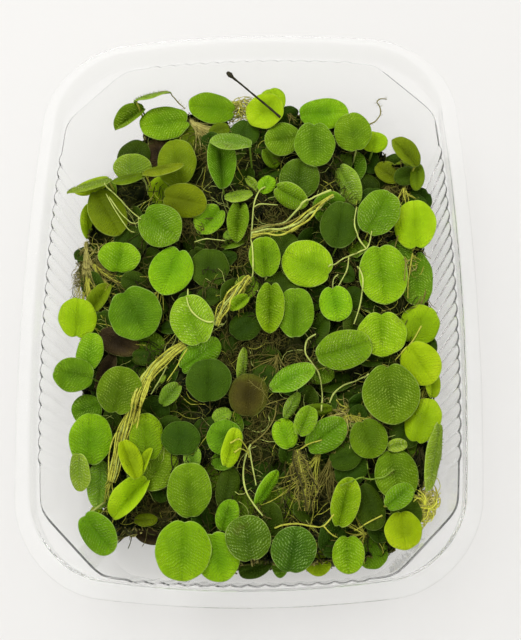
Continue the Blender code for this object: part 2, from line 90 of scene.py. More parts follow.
# Inset and height of each ring of the sheet, on the rim and down the pocket
RIM_RINGS = [
    (0.0, 40.8), (0.3, 41.2), (1.2, 42.2), (2.2, 43.1), (3.1, 43.75), (3.7, 43.98), (4.15, 43.98),
    (4.5, 43.75), (4.75, 43.2), (4.86, 42.0), (4.92, 38.5), (4.94, 36.3), (4.95, LEDGE_Z)]
POCKET_RINGS = [
    (0.0, LEDGE_Z), (0.1, 35.4), (0.12, 34.8), (0.0, 33.0), (0.0, 26.0), (0.0, 18.0), (0.0, 11.0),
    (0.0, 6.5), (0.0, 4.0), (0.15, 2.9), (0.6, 1.9), (1.2, 1.15), (1.8, 0.72), (2.5, FLOOR_Z),
    (6.0, FLOOR_Z), (20.0, FLOOR_Z), (38.0, FLOOR_Z)]


def rim_outline(x, y, inset):
    """How far a place lies outside the rim's outline, set in by some millimetres."""
    x, y = np.abs(x), np.abs(y)
    half_x, half_y = RIM_HALF[0] - inset, RIM_HALF[1] - inset
    corner = RIM_CORNER - 0.8 * inset
    over_x = x - half_x + RIM_BOW[0] * (y / half_y) ** 2 + corner
    over_y = y - half_y + RIM_BOW[1] * (x / half_x) ** 2 + corner
    beyond = np.hypot(np.maximum(over_x, 0), np.maximum(over_y, 0))
    return beyond + np.minimum(np.maximum(over_x, over_y), 0) - corner


def flute_bulge(along, flutes, depth):
    """How far the flutes stand out at places along a wall: round arches with softened creases between."""
    start, end, count = flutes
    arch = np.sin(math.pi * (along - start) / (end - start) * count)
    bulge = np.sqrt(arch ** 2 + FLUTE_CREASE ** 2) - FLUTE_CREASE
    return np.where((along > start) & (along < end), depth * bulge, 0.0)


def pocket_outline(x, y, z, inset, flute_depth):
    """How far a place lies outside the pocket's wall: bowed fluted sides and cut-off corners."""
    inset = inset + (LEDGE_Z - z) * DRAFT
    half_x = RIM_HALF[0] - POCKET_INSET[0] - inset
    half_y = RIM_HALF[1] - POCKET_INSET[1] - inset
    side_x = half_x - POCKET_BOW[0] * (y / half_y) ** 2 + flute_bulge(y, LONG_FLUTES, flute_depth)
    side_y = half_y - POCKET_BOW[1] * (x / half_x) ** 2 + flute_bulge(x, SHORT_FLUTES, flute_depth)
    x, y = np.abs(x), np.abs(y)
    chamfer = (x + y - (half_x + half_y - POCKET_CHAMFER)) / math.sqrt(2)
    total = sum(np.exp(f / POCKET_SOFTNESS) for f in (x - side_x, y - side_y, chamfer))
    return POCKET_SOFTNESS * np.log(total)


def ring_of(outline, turns, z, *settings):
    """Points where rays from the middle meet an outline, found by halving."""
    low, high = np.zeros_like(turns), np.full_like(turns, 1.3 * RIM_HALF[1])
    for _ in range(30):
        middle = (low + high) / 2
        beyond = outline(middle * np.cos(turns), middle * np.sin(turns), *settings) > 0
        low, high = np.where(beyond, low, middle), np.where(beyond, middle, high)
    return np.stack([low * np.cos(turns), low * np.sin(turns), np.full_like(turns, z)], 1)


def even_turns(count):
    """Directions from the middle that space points evenly along the pocket's wall."""
    coarse = np.linspace(0, 2 * math.pi, 4001)
    ring = ring_of(pocket_outline, coarse, 0, LEDGE_Z, 0.0, 0.0)
    run = np.concatenate([[0], np.cumsum(np.linalg.norm(np.diff(ring, axis=0), axis=1))])
    return np.interp(np.linspace(0, run[-1], count, endpoint=False), run, coarse)


def ring_faces(rings, count):
    """Faces between rings that follow each other, each of so many points."""
    faces = []
    for first in range(0, (rings - 1) * count, count):
        for k in range(count):
            after = (k + 1) % count
            faces.append((first + k, first + after, first + after + count, first + k + count))
    return faces


def new_object(name, vertices, faces):
    """A smooth mesh object from points in millimetres."""
    mesh = bpy.data.meshes.new(name)
    mesh.from_pydata((np.asarray(vertices) * MM).tolist(), [], faces)
    mesh.polygons.foreach_set("use_smooth", [True] * len(mesh.polygons))
    mesh.update()
    made = bpy.data.objects.new(name, mesh)
    bpy.context.scene.collection.objects.link(made)
    return made


turns = even_turns(TRAY_STATIONS)
tray_rings = [ring_of(rim_outline, turns, z, inset) for inset, z in RIM_RINGS]
for inset, z in POCKET_RINGS:
    depth = FLUTE_FOOT + (FLUTE_TOP - FLUTE_FOOT) * (z / LEDGE_Z)
    depth *= min(1.0, max(0.0, (z - FLUTE_START_Z) / FLUTE_FADE))
    tray_rings.append(ring_of(pocket_outline, turns, z, z, inset, depth))
last = (len(tray_rings) - 1) * TRAY_STATIONS
tray_faces = ring_faces(len(tray_rings), TRAY_STATIONS) + [tuple(range(last, last + TRAY_STATIONS))]
clear_tray = new_object("clear_tray", np.concatenate(tray_rings), tray_faces)
wall = clear_tray.modifiers.new("wall", "SOLIDIFY")
wall.thickness = SHEET * MM
wall.offset = -1.0
wall.use_even_offset = True
bpy.context.view_layer.objects.active = clear_tray
bpy.ops.object.modifier_apply(modifier=wall.name)


class Shade:
    """A socket in a material. Sums and products of shades add the Math nodes; the other methods add
    the nodes that they name."""

    def __init__(self, tree, socket=None):
        self.tree = tree
        self.socket = socket

    def node(self, kind, settings=None, inputs=None, output=0):
        made = self.tree.nodes.new("ShaderNode" + kind)
        for key, value in (settings or {}).items():
            setattr(made, key, value)
        for key, value in (inputs or {}).items():
            if isinstance(value, Shade):
                self.tree.links.new(value.socket, made.inputs[key])
            else:
                made.inputs[key].default_value = value
        return Shade(self.tree, made.outputs[output])

    def maths(self, operation, *values):
        return self.node("Math", {"operation": operation}, dict(enumerate(values)))

    def __add__(self, other):
        return self.maths("ADD", self, other)

    def __radd__(self, other):
        return self.maths("ADD", other, self)

    def __sub__(self, other):
        return self.maths("SUBTRACT", self, other)

    def __rsub__(self, other):
        return self.maths("SUBTRACT", other, self)

    def __mul__(self, other):
        return self.maths("MULTIPLY", self, other)

    def __truediv__(self, other):
        return self.maths("DIVIDE", self, other)

    def zigzag(self):
        """1 at every odd half, 0 at every whole number and straight between."""
        return self.maths("PINGPONG", self, 0.5) * 2

    def noise(self, scale, detail, distortion=0.0):
        """Noise over this place."""
        return self.node("TexNoise", {}, {"Vector": self, "Scale": scale, "Detail": detail,
                                          "Distortion": distortion})

    def split(self):
        """The three numbers of this vector."""
        return [self.node("SeparateXYZ", {}, {0: self}, output=axis) for axis in range(3)]

    def step(self, low, high):
        """0 below low, 1 above high and smooth between."""
        return self.node("MapRange", {"interpolation_type": "SMOOTHSTEP"}, {0: self, 1: low, 2: high})

    def blend(self, under, over):
        """The colour under, replaced by the colour over where this value is 1."""
        under, over = [(*c, 1.0) if isinstance(c, tuple) else c for c in (under, over)]
        return self.node("Mix", {"data_type": "RGBA"}, {0: self, 6: under, 7: over}, output=2)


def new_material(name, sockets, colour):
    """A material with a Principled shader, its plain sockets set; returns it and a shade to start from."""
    made = bpy.data.materials.new(name)
    made.use_nodes = True
    made.diffuse_color = (*colour, 1.0)
    shader = made.node_tree.nodes["Principled BSDF"]
    shader.inputs["Base Color"].default_value = (*colour, 1.0)
    for key, value in sockets.items():
        shader.inputs[key].default_value = value
    return made, Shade(made.node_tree)


def paint(made, **shades):
    """Links shades to the Principled shader's sockets; a bump's height may come as height=."""
    tree = made.node_tree
    shader = tree.nodes["Principled BSDF"]
    names = {"colour": "Base Color", "roughness": "Roughness", "coat": "Coat Weight"}
    for key, value in shades.items():
        if key == "height":
            bump = value[0].node("Bump", {}, {"Strength": 1.0, "Distance": value[1] * MM, "Height": value[0]})
            tree.links.new(bump.socket, shader.inputs["Normal"])
        else:
            tree.links.new(value.socket, shader.inputs[names[key]])


clear_plastic, start = new_material("clear_plastic", {
    "Transmission Weight": 0.95, "IOR": 1.052, "Roughness": 0.04}, (0.995, 0.997, 0.993))
place = start.node("TexCoord", output=3)
smear = place.noise(55.0, 3.0)
scuff = place.noise(900.0, 2.0, 1.5)
ripple = place.noise(130.0, 1.0)
paint(clear_plastic, roughness=0.02 + smear.step(0.5, 0.8) * 0.07 + scuff.step(0.62, 0.7) * 0.015,
      height=(ripple, 0.015))
clear_tray.data.materials.append(clear_plastic)
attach(clear_tray, "root")
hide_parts("tray")


# Leaves
# The living leaves: roundish oval blades in pairs, thin, each half arched, creased along the midrib,
# with rows of pale bristles on top and a pale rim painted as a highlight, and with shade painted into
# the midrib crease and between the rows. Young ones are bright, shaded and old ones dark or olive.
# The part's solids give each leaf its place.
def search_tree(meshes):
    """A search tree over the faces of some meshes."""
    vertices, faces = [], []
    for mesh in meshes:
        base = len(vertices)
        vertices += [v.co.copy() for v in mesh.vertices]
        faces += [tuple(base + i for i in p.vertices) for p in mesh.polygons]
    return BVHTree.FromPolygons(vertices, faces)


LEAF_NODES = [f"leaf_{number:02d}" for number in range(1, 54)]
mat_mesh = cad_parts["root_mat"].data
leaf_meshes = [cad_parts[name].data for name in LEAF_NODES]
mat_tree = search_tree([mat_mesh])
leaf_trees = [search_tree([mesh]) for mesh in leaf_meshes]
top_tree = search_tree([mat_mesh] + leaf_meshes)


# Where plumb lines over the part and level lines beside it start, in metres
ABOVE_PART, BESIDE_PART = 0.1, 0.12


def height_on(tree, x, y, otherwise=None):
    """Height in millimetres at which a plumb line from above meets a tree."""
    hit = tree.ray_cast(Vector((x * MM, y * MM, ABOVE_PART)), Vector((0, 0, -1)))[0]
    return otherwise if hit is None else hit.z / MM


# Colours of each tone's heart, blade, edge and dots; strength of the dots, length of the bristles and
# height of the arches
TONES = {
    "bright": ((0.098, 0.234, 0.002), (0.168, 0.350, 0.002), (0.246, 0.455, 0.004),
        (0.45, 0.68, 0.10), 0.90, 0.45, 0.72),
    "mid": ((0.056, 0.135, 0.002), (0.103, 0.228, 0.002), (0.144, 0.291, 0.005),
        (0.40, 0.60, 0.10), 0.80, 0.40, 0.62),
    "dark": ((0.019, 0.048, 0.001), (0.028, 0.065, 0.001), (0.040, 0.088, 0.003),
        (0.25, 0.40, 0.08), 0.20, 0.20, 0.50),
    "deep": ((0.029, 0.082, 0.002), (0.056, 0.134, 0.003), (0.080, 0.179, 0.005),
        (0.34, 0.52, 0.14), 1.00, 0.55, 0.70),
    "yellow": ((0.152, 0.273, 0.001), (0.252, 0.432, 0.002), (0.335, 0.510, 0.008),
        (0.50, 0.70, 0.12), 0.22, 0.16, 0.30),
    "olive": ((0.072, 0.117, 0.001), (0.111, 0.181, 0.001), (0.154, 0.229, 0.003),
        (0.32, 0.42, 0.08), 0.30, 0.20, 0.45),
    "pale": ((0.122, 0.245, 0.012), (0.186, 0.328, 0.015), (0.262, 0.422, 0.033),
        (0.48, 0.62, 0.22), 1.00, 0.62, 0.50),
    "rough": ((0.098, 0.232, 0.003), (0.148, 0.312, 0.003), (0.207, 0.374, 0.010),
        (0.48, 0.68, 0.16), 1.00, 0.75, 0.75),
    "rust": ((0.030, 0.026, 0.003), (0.064, 0.058, 0.006), (0.080, 0.098, 0.008),
        (0.16, 0.13, 0.02), 0.15, 0.15, 0.30),
    "dead": ((0.016, 0.011, 0.004), (0.042, 0.029, 0.010), (0.070, 0.055, 0.014),
        (0.09, 0.07, 0.02), 0.15, 0.15, 0.30)}
# The rows of bristles: how far apart, how slanted, how far apart in a row; where they end on the blade,
# the radius of a bristle's foot and the turns of its corners
ROW_SPACING = 0.9
ROW_SLANT = 0.55
BRISTLE_SPACING = 0.82
BRISTLE_EDGE = 0.93
BRISTLE_RADIUS = 0.2
BRISTLE_CORNERS = (0.3, 2.4, 4.5)
# How much lighter the blade is painted towards its tip: painted light on the curved blade
PAINTED_TIP_LIGHT = 0.035
UNDULATION = 0.26
LEAF_DROOP = 0.5
MIDRIB_SAG = 0.18
BLADE_THICKNESS = 0.42
RIM_THINNING = 0.6
ATTRIBUTE_KINDS = {"blade": ("FLOAT_VECTOR", "vector"), "luck": ("FLOAT_VECTOR", "vector"),
                   "side": ("FLOAT", "value"), "tint": ("FLOAT_COLOR", "color")}
# Rings and sectors of the grid of a large, a lower and a small leaf
LEAF_GRID, LOWER_GRID, FILLER_GRID = (13, 54), (8, 36), (6, 30)


def blade_reach(angle, notch):
    """Outline of a blade from 0 to 1 round its middle: round, with a notch where the stalk joins."""
    from_base = np.abs(math.pi - np.mod(angle, 2 * math.pi))
    shoulder = 0.02 * np.exp(-((from_base - 0.4) / 0.22) ** 2)
    return 1.0 + shoulder - notch * np.exp(-(from_base / 0.13) ** 2)


def blade_height(u, v, reach, half_width, fold, arch, wave):
    """Height of the blade over its own level: each half arches from the midrib to the rim, which
    droops; wave is a random phase for a gentle undulation."""
    share = np.minimum(np.abs(v) / half_width, 1.0)
    undulation = UNDULATION * np.sin(u * 0.55 + wave) * np.cos(v * 0.5 + 1.7 * wave) * reach
    crease = MIDRIB_SAG * np.maximum(0.0, 1 - 1.2 * np.abs(v))
    droop = LEAF_DROOP * reach ** 4
    return np.abs(v) * math.sin(fold) + arch * np.sin(math.pi * share ** 0.8) - droop - crease + undulation


def blade(length, width, fold, tone, grid):
    """One leaf round the origin, tip towards +X: points, faces and what the finish reads of each point,
    its place on the blade and its side: 0 on top, -1 below, over 0 on a bristle."""
    rings, sectors = grid
    bristle, arch = TONES[tone][-2:]
    half_length, half_width = length / 2, width / 2
    wave, arch = rng.uniform(0, 6), arch * rng.uniform(0.7, 1.25) * width / 13
    ripple_size, ripple_count = rng.uniform(0.006, 0.018), rng.randint(4, 8)
    notch, lopsided = rng.uniform(0.03, 0.13), rng.uniform(0.0, 0.03)
    angles = np.arange(sectors) * 2 * math.pi / sectors
    rim_reach = blade_reach(angles, notch) * (1 + ripple_size * np.sin(ripple_count * angles + wave)
                                              + lopsided * np.sin(2 * angles + 3 * wave))
    shares = np.linspace(0, 1, rings + 1)[1:] ** 0.8
    reach = shares[:, None] * np.ones(sectors)[None, :]
    u = half_length * reach * rim_reach * np.cos(angles)
    v = half_width * reach * rim_reach * np.sin(angles)
    w = blade_height(u, v, reach, half_width, fold, arch, wave)
    thick = BLADE_THICKNESS / 2 * (1 - RIM_THINNING * reach ** 3)

    def stacked(height):
        return np.stack([u, v * math.cos(fold), height], -1).reshape(-1, 3)

    count = rings * sectors
    top_middle, low_middle = 2 * count, 2 * count + 1
    points = [stacked(w + thick), stacked(w - thick),
              np.array([[0, 0, BLADE_THICKNESS / 2 - MIDRIB_SAG], [0, 0, -BLADE_THICKNESS / 2 - MIDRIB_SAG]])]
    told = [np.stack([u, v, reach], -1).reshape(-1, 3)] * 2 + [np.zeros((2, 3))]
    side = [np.zeros(count), np.full(count, -1.0), np.array([0.0, -1.0])]
    faces = []
    for k in range(sectors):
        after = (k + 1) % sectors
        faces.append((top_middle, k, after))
        faces.append((low_middle, count + after, count + k))
        for ring in range(rings - 1):
            a, b = ring * sectors, (ring + 1) * sectors
            faces.append((a + k, b + k, b + after, a + after))
            faces.append((count + a + k, count + a + after, count + b + after, count + b + k))
        a = (rings - 1) * sectors
        faces.append((a + k, count + a + k, count + a + after, a + after))

    roots = []
    rows = int(length / ROW_SPACING) + 8
    for row in range(-rows, rows + 1):
        for step in range(1, int(half_width / BRISTLE_SPACING) + 1):
            across = step * BRISTLE_SPACING + rng.uniform(-0.2, 0.2)
            along = row * ROW_SPACING + ROW_SLANT * across + rng.uniform(-0.14, 0.14)
            for half in (-1, 1):
                angle = math.atan2(half * across / half_width, along / half_length)
                far = math.hypot(along / half_length, across / half_width) / blade_reach(angle, notch)
                if far < BRISTLE_EDGE:
                    roots.append((along, half * across, far))
    roots = np.array(roots).reshape(-1, 3)
    lift = blade_height(*roots.T, half_width, fold, arch, wave) + BLADE_THICKNESS * 0.3
    base = np.stack([roots[:, 0], roots[:, 1] * math.cos(fold), lift], 1)
    lean = np.stack([np.zeros(len(roots)), -np.sign(roots[:, 1]) * math.sin(fold),
                     np.full(len(roots), math.cos(fold))], 1)
    size = bristle * np.array([rng.uniform(0.4, 1.3) for _ in roots])[:, None]
    stray = [[rng.uniform(-0.1, 0.1), rng.uniform(-0.1, 0.1), 0] for _ in roots]
    tip = base + lean * size + np.array(stray).reshape(-1, 3)
    for turn in BRISTLE_CORNERS:
        points.append(base + BRISTLE_RADIUS * way(turn))
    points.append(tip)
    told += [roots] * 4
    first, n = 2 * count + 2, len(roots)
    side += [np.full(n, 0.6)] * 3 + [np.ones(n)]
    for k in range(n):
        a, b, c, t = first + k, first + n + k, first + 2 * n + k, first + 3 * n + k
        faces += [(a, b, t), (b, c, t), (c, a, t), (c, b, a)]
    return np.concatenate(points), faces, np.concatenate(told), np.concatenate(side)


def way(turn, rise=0.0):
    """A step of 1 that way round, which rises by so much."""
    return np.array([math.cos(turn), math.sin(turn), rise])


class Heap:
    """Forms that share one finish, gathered into one mesh with what the finish reads of each point."""

    def __init__(self):
        self.points, self.faces, self.count = [], [], 0
        self.told = {"blade": [], "luck": [], "side": [], "tint": []}

    def add(self, points, faces, **told):
        """Adds a form; what is told is an array with a row for each point, or a list for all of them."""
        self.faces += [tuple(self.count + i for i in face) for face in faces]
        self.points.append(points)
        for key, values in told.items():
            rows = np.tile(values, (len(points), 1)) if isinstance(values, list) else values
            self.told[key].append(rows)
        self.count += len(points)

    def add_leaf(self, points, faces, told, side, fair=1.0):
        """Adds a leaf with three draws that vary its colours; fair limits how light it may be (painted
        shade).
        """
        luck = [fair * rng.random(), rng.random(), rng.random()]
        self.add(points, faces, blade=told, side=side, luck=luck)

    def make(self, name, material):
        """The mesh object of all that was added."""
        made = new_object(name, np.concatenate(self.points), self.faces)
        for key, values in self.told.items():
            if values:
                kind, field = ATTRIBUTE_KINDS[key]
                layer = made.data.attributes.new(key, kind, "POINT")
                layer.data.foreach_set(field, np.concatenate(values).ravel())
        made.data.materials.append(material)
        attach(made, "root")
        return made


def turned(heading, pitch, roll):
    """The turn of a leaf that heads, rises and rolls by some degrees."""
    return np.array(Matrix.Rotation(math.radians(heading), 3, "Z")
                    @ Matrix.Rotation(math.radians(-pitch), 3, "Y")
                    @ Matrix.Rotation(math.radians(roll), 3, "X"))


def leaf_finish(tone):
    """Waxy leaf tissue: darker at the heart and paler at the edge, partly painted light; a painted highlight
    on the rim, painted shade in the midrib crease and between the rows of bristle dots, and blotches.
    """
    heart, body, edge, dot, strength = TONES[tone][:5]
    made, start = new_material(f"leaf_{tone}", {"Roughness": 0.5, "Specular IOR Level": 0.05}, body)
    place = start.node("TexCoord", output=3)
    along, across, reach = start.node("Attribute", {"attribute_name": "blade"}, output=1).split()
    across = across.maths("ABSOLUTE", across)
    lucky = start.node("Attribute", {"attribute_name": "luck"}, output=1).split()
    side = start.node("Attribute", {"attribute_name": "side"}, output=2)
    cloud = place.noise(130.0, 3.0)
    warp = place.noise(420.0, 2.0) - 0.5
    fine = place.noise(1500.0, 2.0)
    patch = place.noise(330.0, 3.0).step(0.35, 0.65)
    # Partly own tone, partly painted light: dark heart to pale edge, lighter towards the tip
    spread = reach + along * PAINTED_TIP_LIGHT + (cloud - 0.5) * 1.5 + (lucky[0] - 0.5) * 0.5
    colour = spread.step(0.05, 0.75).blend(heart, body)
    colour = (spread.step(0.65, 1.15) * 0.8).blend(colour, edge)
    ridge = 1 - ((along - across * ROW_SLANT) / ROW_SPACING + warp * 2.5).zigzag()
    bead = (across / BRISTLE_SPACING + warp * 2.3).zigzag()
    cover = (cloud + (lucky[1] - 0.5) * 0.5).step(0.35, 0.62)
    own = (0.75 + lucky[1] * 0.55) * (0.55 + cover * 0.45)
    # Painted shade: the heart colour in the grooves between the rows of bristles
    colour = ((1 - ridge.step(0.1, 0.7)) * own * (0.3 * strength)).blend(colour, heart)
    colour = ((1 - patch) * 0.35).blend(colour, heart)
    pale = tuple(0.35 * c + 0.65 * p for c, p in zip(edge, dot))
    dots = ridge.step(0.35, 0.95) * (1 - bead.step(0.15, 0.8) * 0.92) * (1 - reach.step(0.9, 0.97))
    dots = dots * (0.12 + patch * 0.95)
    colour = (dots * own * (0.95 * strength)).blend(colour, pale)
    colour = (side.step(0.25, 1.0) * (0.1 + 0.5 * strength) * (0.4 + patch * 0.6)).blend(colour, pale)
    # Painted shade: the heart colour along the midrib crease, broader near the base
    colour = ((1 - across.step(0.0, 0.35)) * 0.35).blend(colour, heart)
    painted_base_shade = (1 - across.step(0.0, 3.2)) * (1 - along.step(-2.0, 5.0))
    colour = (painted_base_shade * 0.4).blend(colour, heart)
    # Painted highlight: a pale line along the blade's rim
    rim = reach.step(0.955, 0.985) * (0.25 + patch * 0.75)
    colour = (rim * (0.1 + 0.45 * strength)).blend(colour, (0.42, 0.56, 0.16))
    stain = cloud.step(0.62, 0.75) * lucky[1].step(0.6, 1.0)
    colour = (stain * 0.5).blend(colour, (0.06, 0.045, 0.012))
    warm = start.node("HueSaturation", {}, {"Hue": 0.478 + lucky[2] * 0.026, "Saturation": 1.0,
                                           "Value": 0.86 + lucky[0] * 0.28, "Color": colour})
    under = (side * -1).step(0.5, 1.0)
    colour = (under * 0.5).blend(warm, (0.20, 0.30, 0.03))
    paint(made, colour=colour, roughness=0.42 + fine * 0.25,
          height=(ridge * (0.3 * strength) + dots * 0.6 + fine * 0.3, 0.34))
    return made


leaf_materials = {tone: leaf_finish(tone) for tone in TONES}

# Length, width, heading and tone of the leaves that the part holds, from the lowest, then pitch, roll
# and fold, where they are not 0
LEAVES = [
    (16, 13.2, 100, "olive", 5, -10), (14, 11, 350, "olive", -8, 18), (16.5, 12, 300, "olive", -10, -15),
    (10, 14, 80, "bright", 12, 0, 18), (15.8, 11.5, 90, "mid", 0, 0, 6), (16.5, 12.5, 80, "dark", -5, 0, 4),
    (14, 12.5, 285, "bright", -6), (13.4, 13.4, 90, "dark", 4, 0, 4), (14.4, 13.6, 80, "mid", 6, 0, 6),
    (13, 12, 90, "yellow", 0, 20), (12, 9, 85, "bright", 0, -8, 5), (12, 11, 170, "mid", 5),
    (15.6, 12.8, 90, "bright", 0, 6), (11, 8, 275, "pale", -12, 30), (13.5, 10, 310, "rough", -8, 15),
    (15.5, 13.5, 95, "mid", 4, 0, 8), (16.5, 16.5, 268, "bright", -6), (13, 12.8, 100, "deep", 6, 0, 6),
    (12.8, 13, 80, "deep", 4, 0, 6), (11, 10.5, 275, "yellow"), (14.5, 11, 75, "bright", 6, 6, 40),
    (15.5, 11.5, 228, "yellow", -6, 10, 42), (11.8, 11.3, 290, "mid", -6, 0, 5),
    (14, 10.8, 70, "yellow", 0, -20), (13.5, 12, 300, "yellow", 0, 15), (18, 17, 275, "mid", -4, 0, 5),
    (13.8, 15, 270, "bright", -4, 0, 6), (17, 12, 15, "rough", 3, 8, 8),
    (11.2, 10.3, 280, "bright", -4, 0, 4), (15.3, 11, 268, "bright", -5, 0, 36),
    (16, 13.3, 110, "rough", 4, -10, 8), (17, 16.5, 300, "mid", -4, 0, 4),
    (15.5, 14, 250, "bright", -5, 0, 6), (14.5, 13.5, 320, "rough", -4, 6, 8),
    (15.5, 15.5, 155, "bright", 5, 0, 4), (13, 10.5, 95, "bright", 6, 0, 22),
    (16.5, 13.3, 90, "yellow", 0, -12), (19, 15.5, 275, "bright", -5, 0, 10),
    (15.5, 13, 60, "rough", 6, 0, 10), (14, 13, 80, "deep", 4, 0, 5), (16.3, 11.7, 0, "bright", 4),
    (11.7, 12, 190, "mid", 4, 0, 5), (13.5, 12, 100, "mid", 4, -6), (14.8, 13.2, 270, "mid", -6, 0, 6),
    (13, 12, 225, "yellow", -6), (16, 11, 170, "bright", 4), (16.5, 12.5, 190, "bright", 6, 0, 4),
    (17.5, 14, 95, "mid", 8, 8, 48), (13.5, 10, 175, "pale", 4, 32, 10), (14.5, 9.5, 25, "rough", 6, -25, 10),
    (13.5, 10, 35, "rough", 5, 18, 14), (12, 8.5, 330, "rough", -4, 48, 10), (20, 7, 258, "pale", -4, -48)]


def leaf_foot(points, grid):
    """The place under a leaf, near its base, where its stalk joins."""
    rings, sectors = grid
    return points[rings * sectors + (rings - 2) * sectors + sectors // 2]


rng = random.Random(21)
leaf_feet = []
foliage = []
heaps = {tone: Heap() for tone in TONES}
stood_for = {tone: [] for tone in TONES}
for node, (length, width, heading, tone, *rest) in zip(LEAF_NODES, LEAVES):
    pitch, roll, fold = (*rest, 0, 0, 0)[:3]
    points, faces, told, side = blade(length, width, math.radians(fold), tone, LEAF_GRID)
    points = points @ turned(heading, pitch, roll).T
    shown = points[side <= 0]
    low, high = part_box(node)
    middle = np.array((low + high) / 2) / MM
    points += middle - (shown.min(0) + shown.max(0)) / 2
    leaf_feet.append(leaf_foot(points, LEAF_GRID))
    heaps[tone].add_leaf(points, faces, told, side)
    stood_for[tone].append(node)
for tone, heap in heaps.items():
    if heap.count:
        leaves = heap.make(f"leaves_{tone}", leaf_materials[tone])
        foliage.append(leaves.data)
        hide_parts(*stood_for[tone])


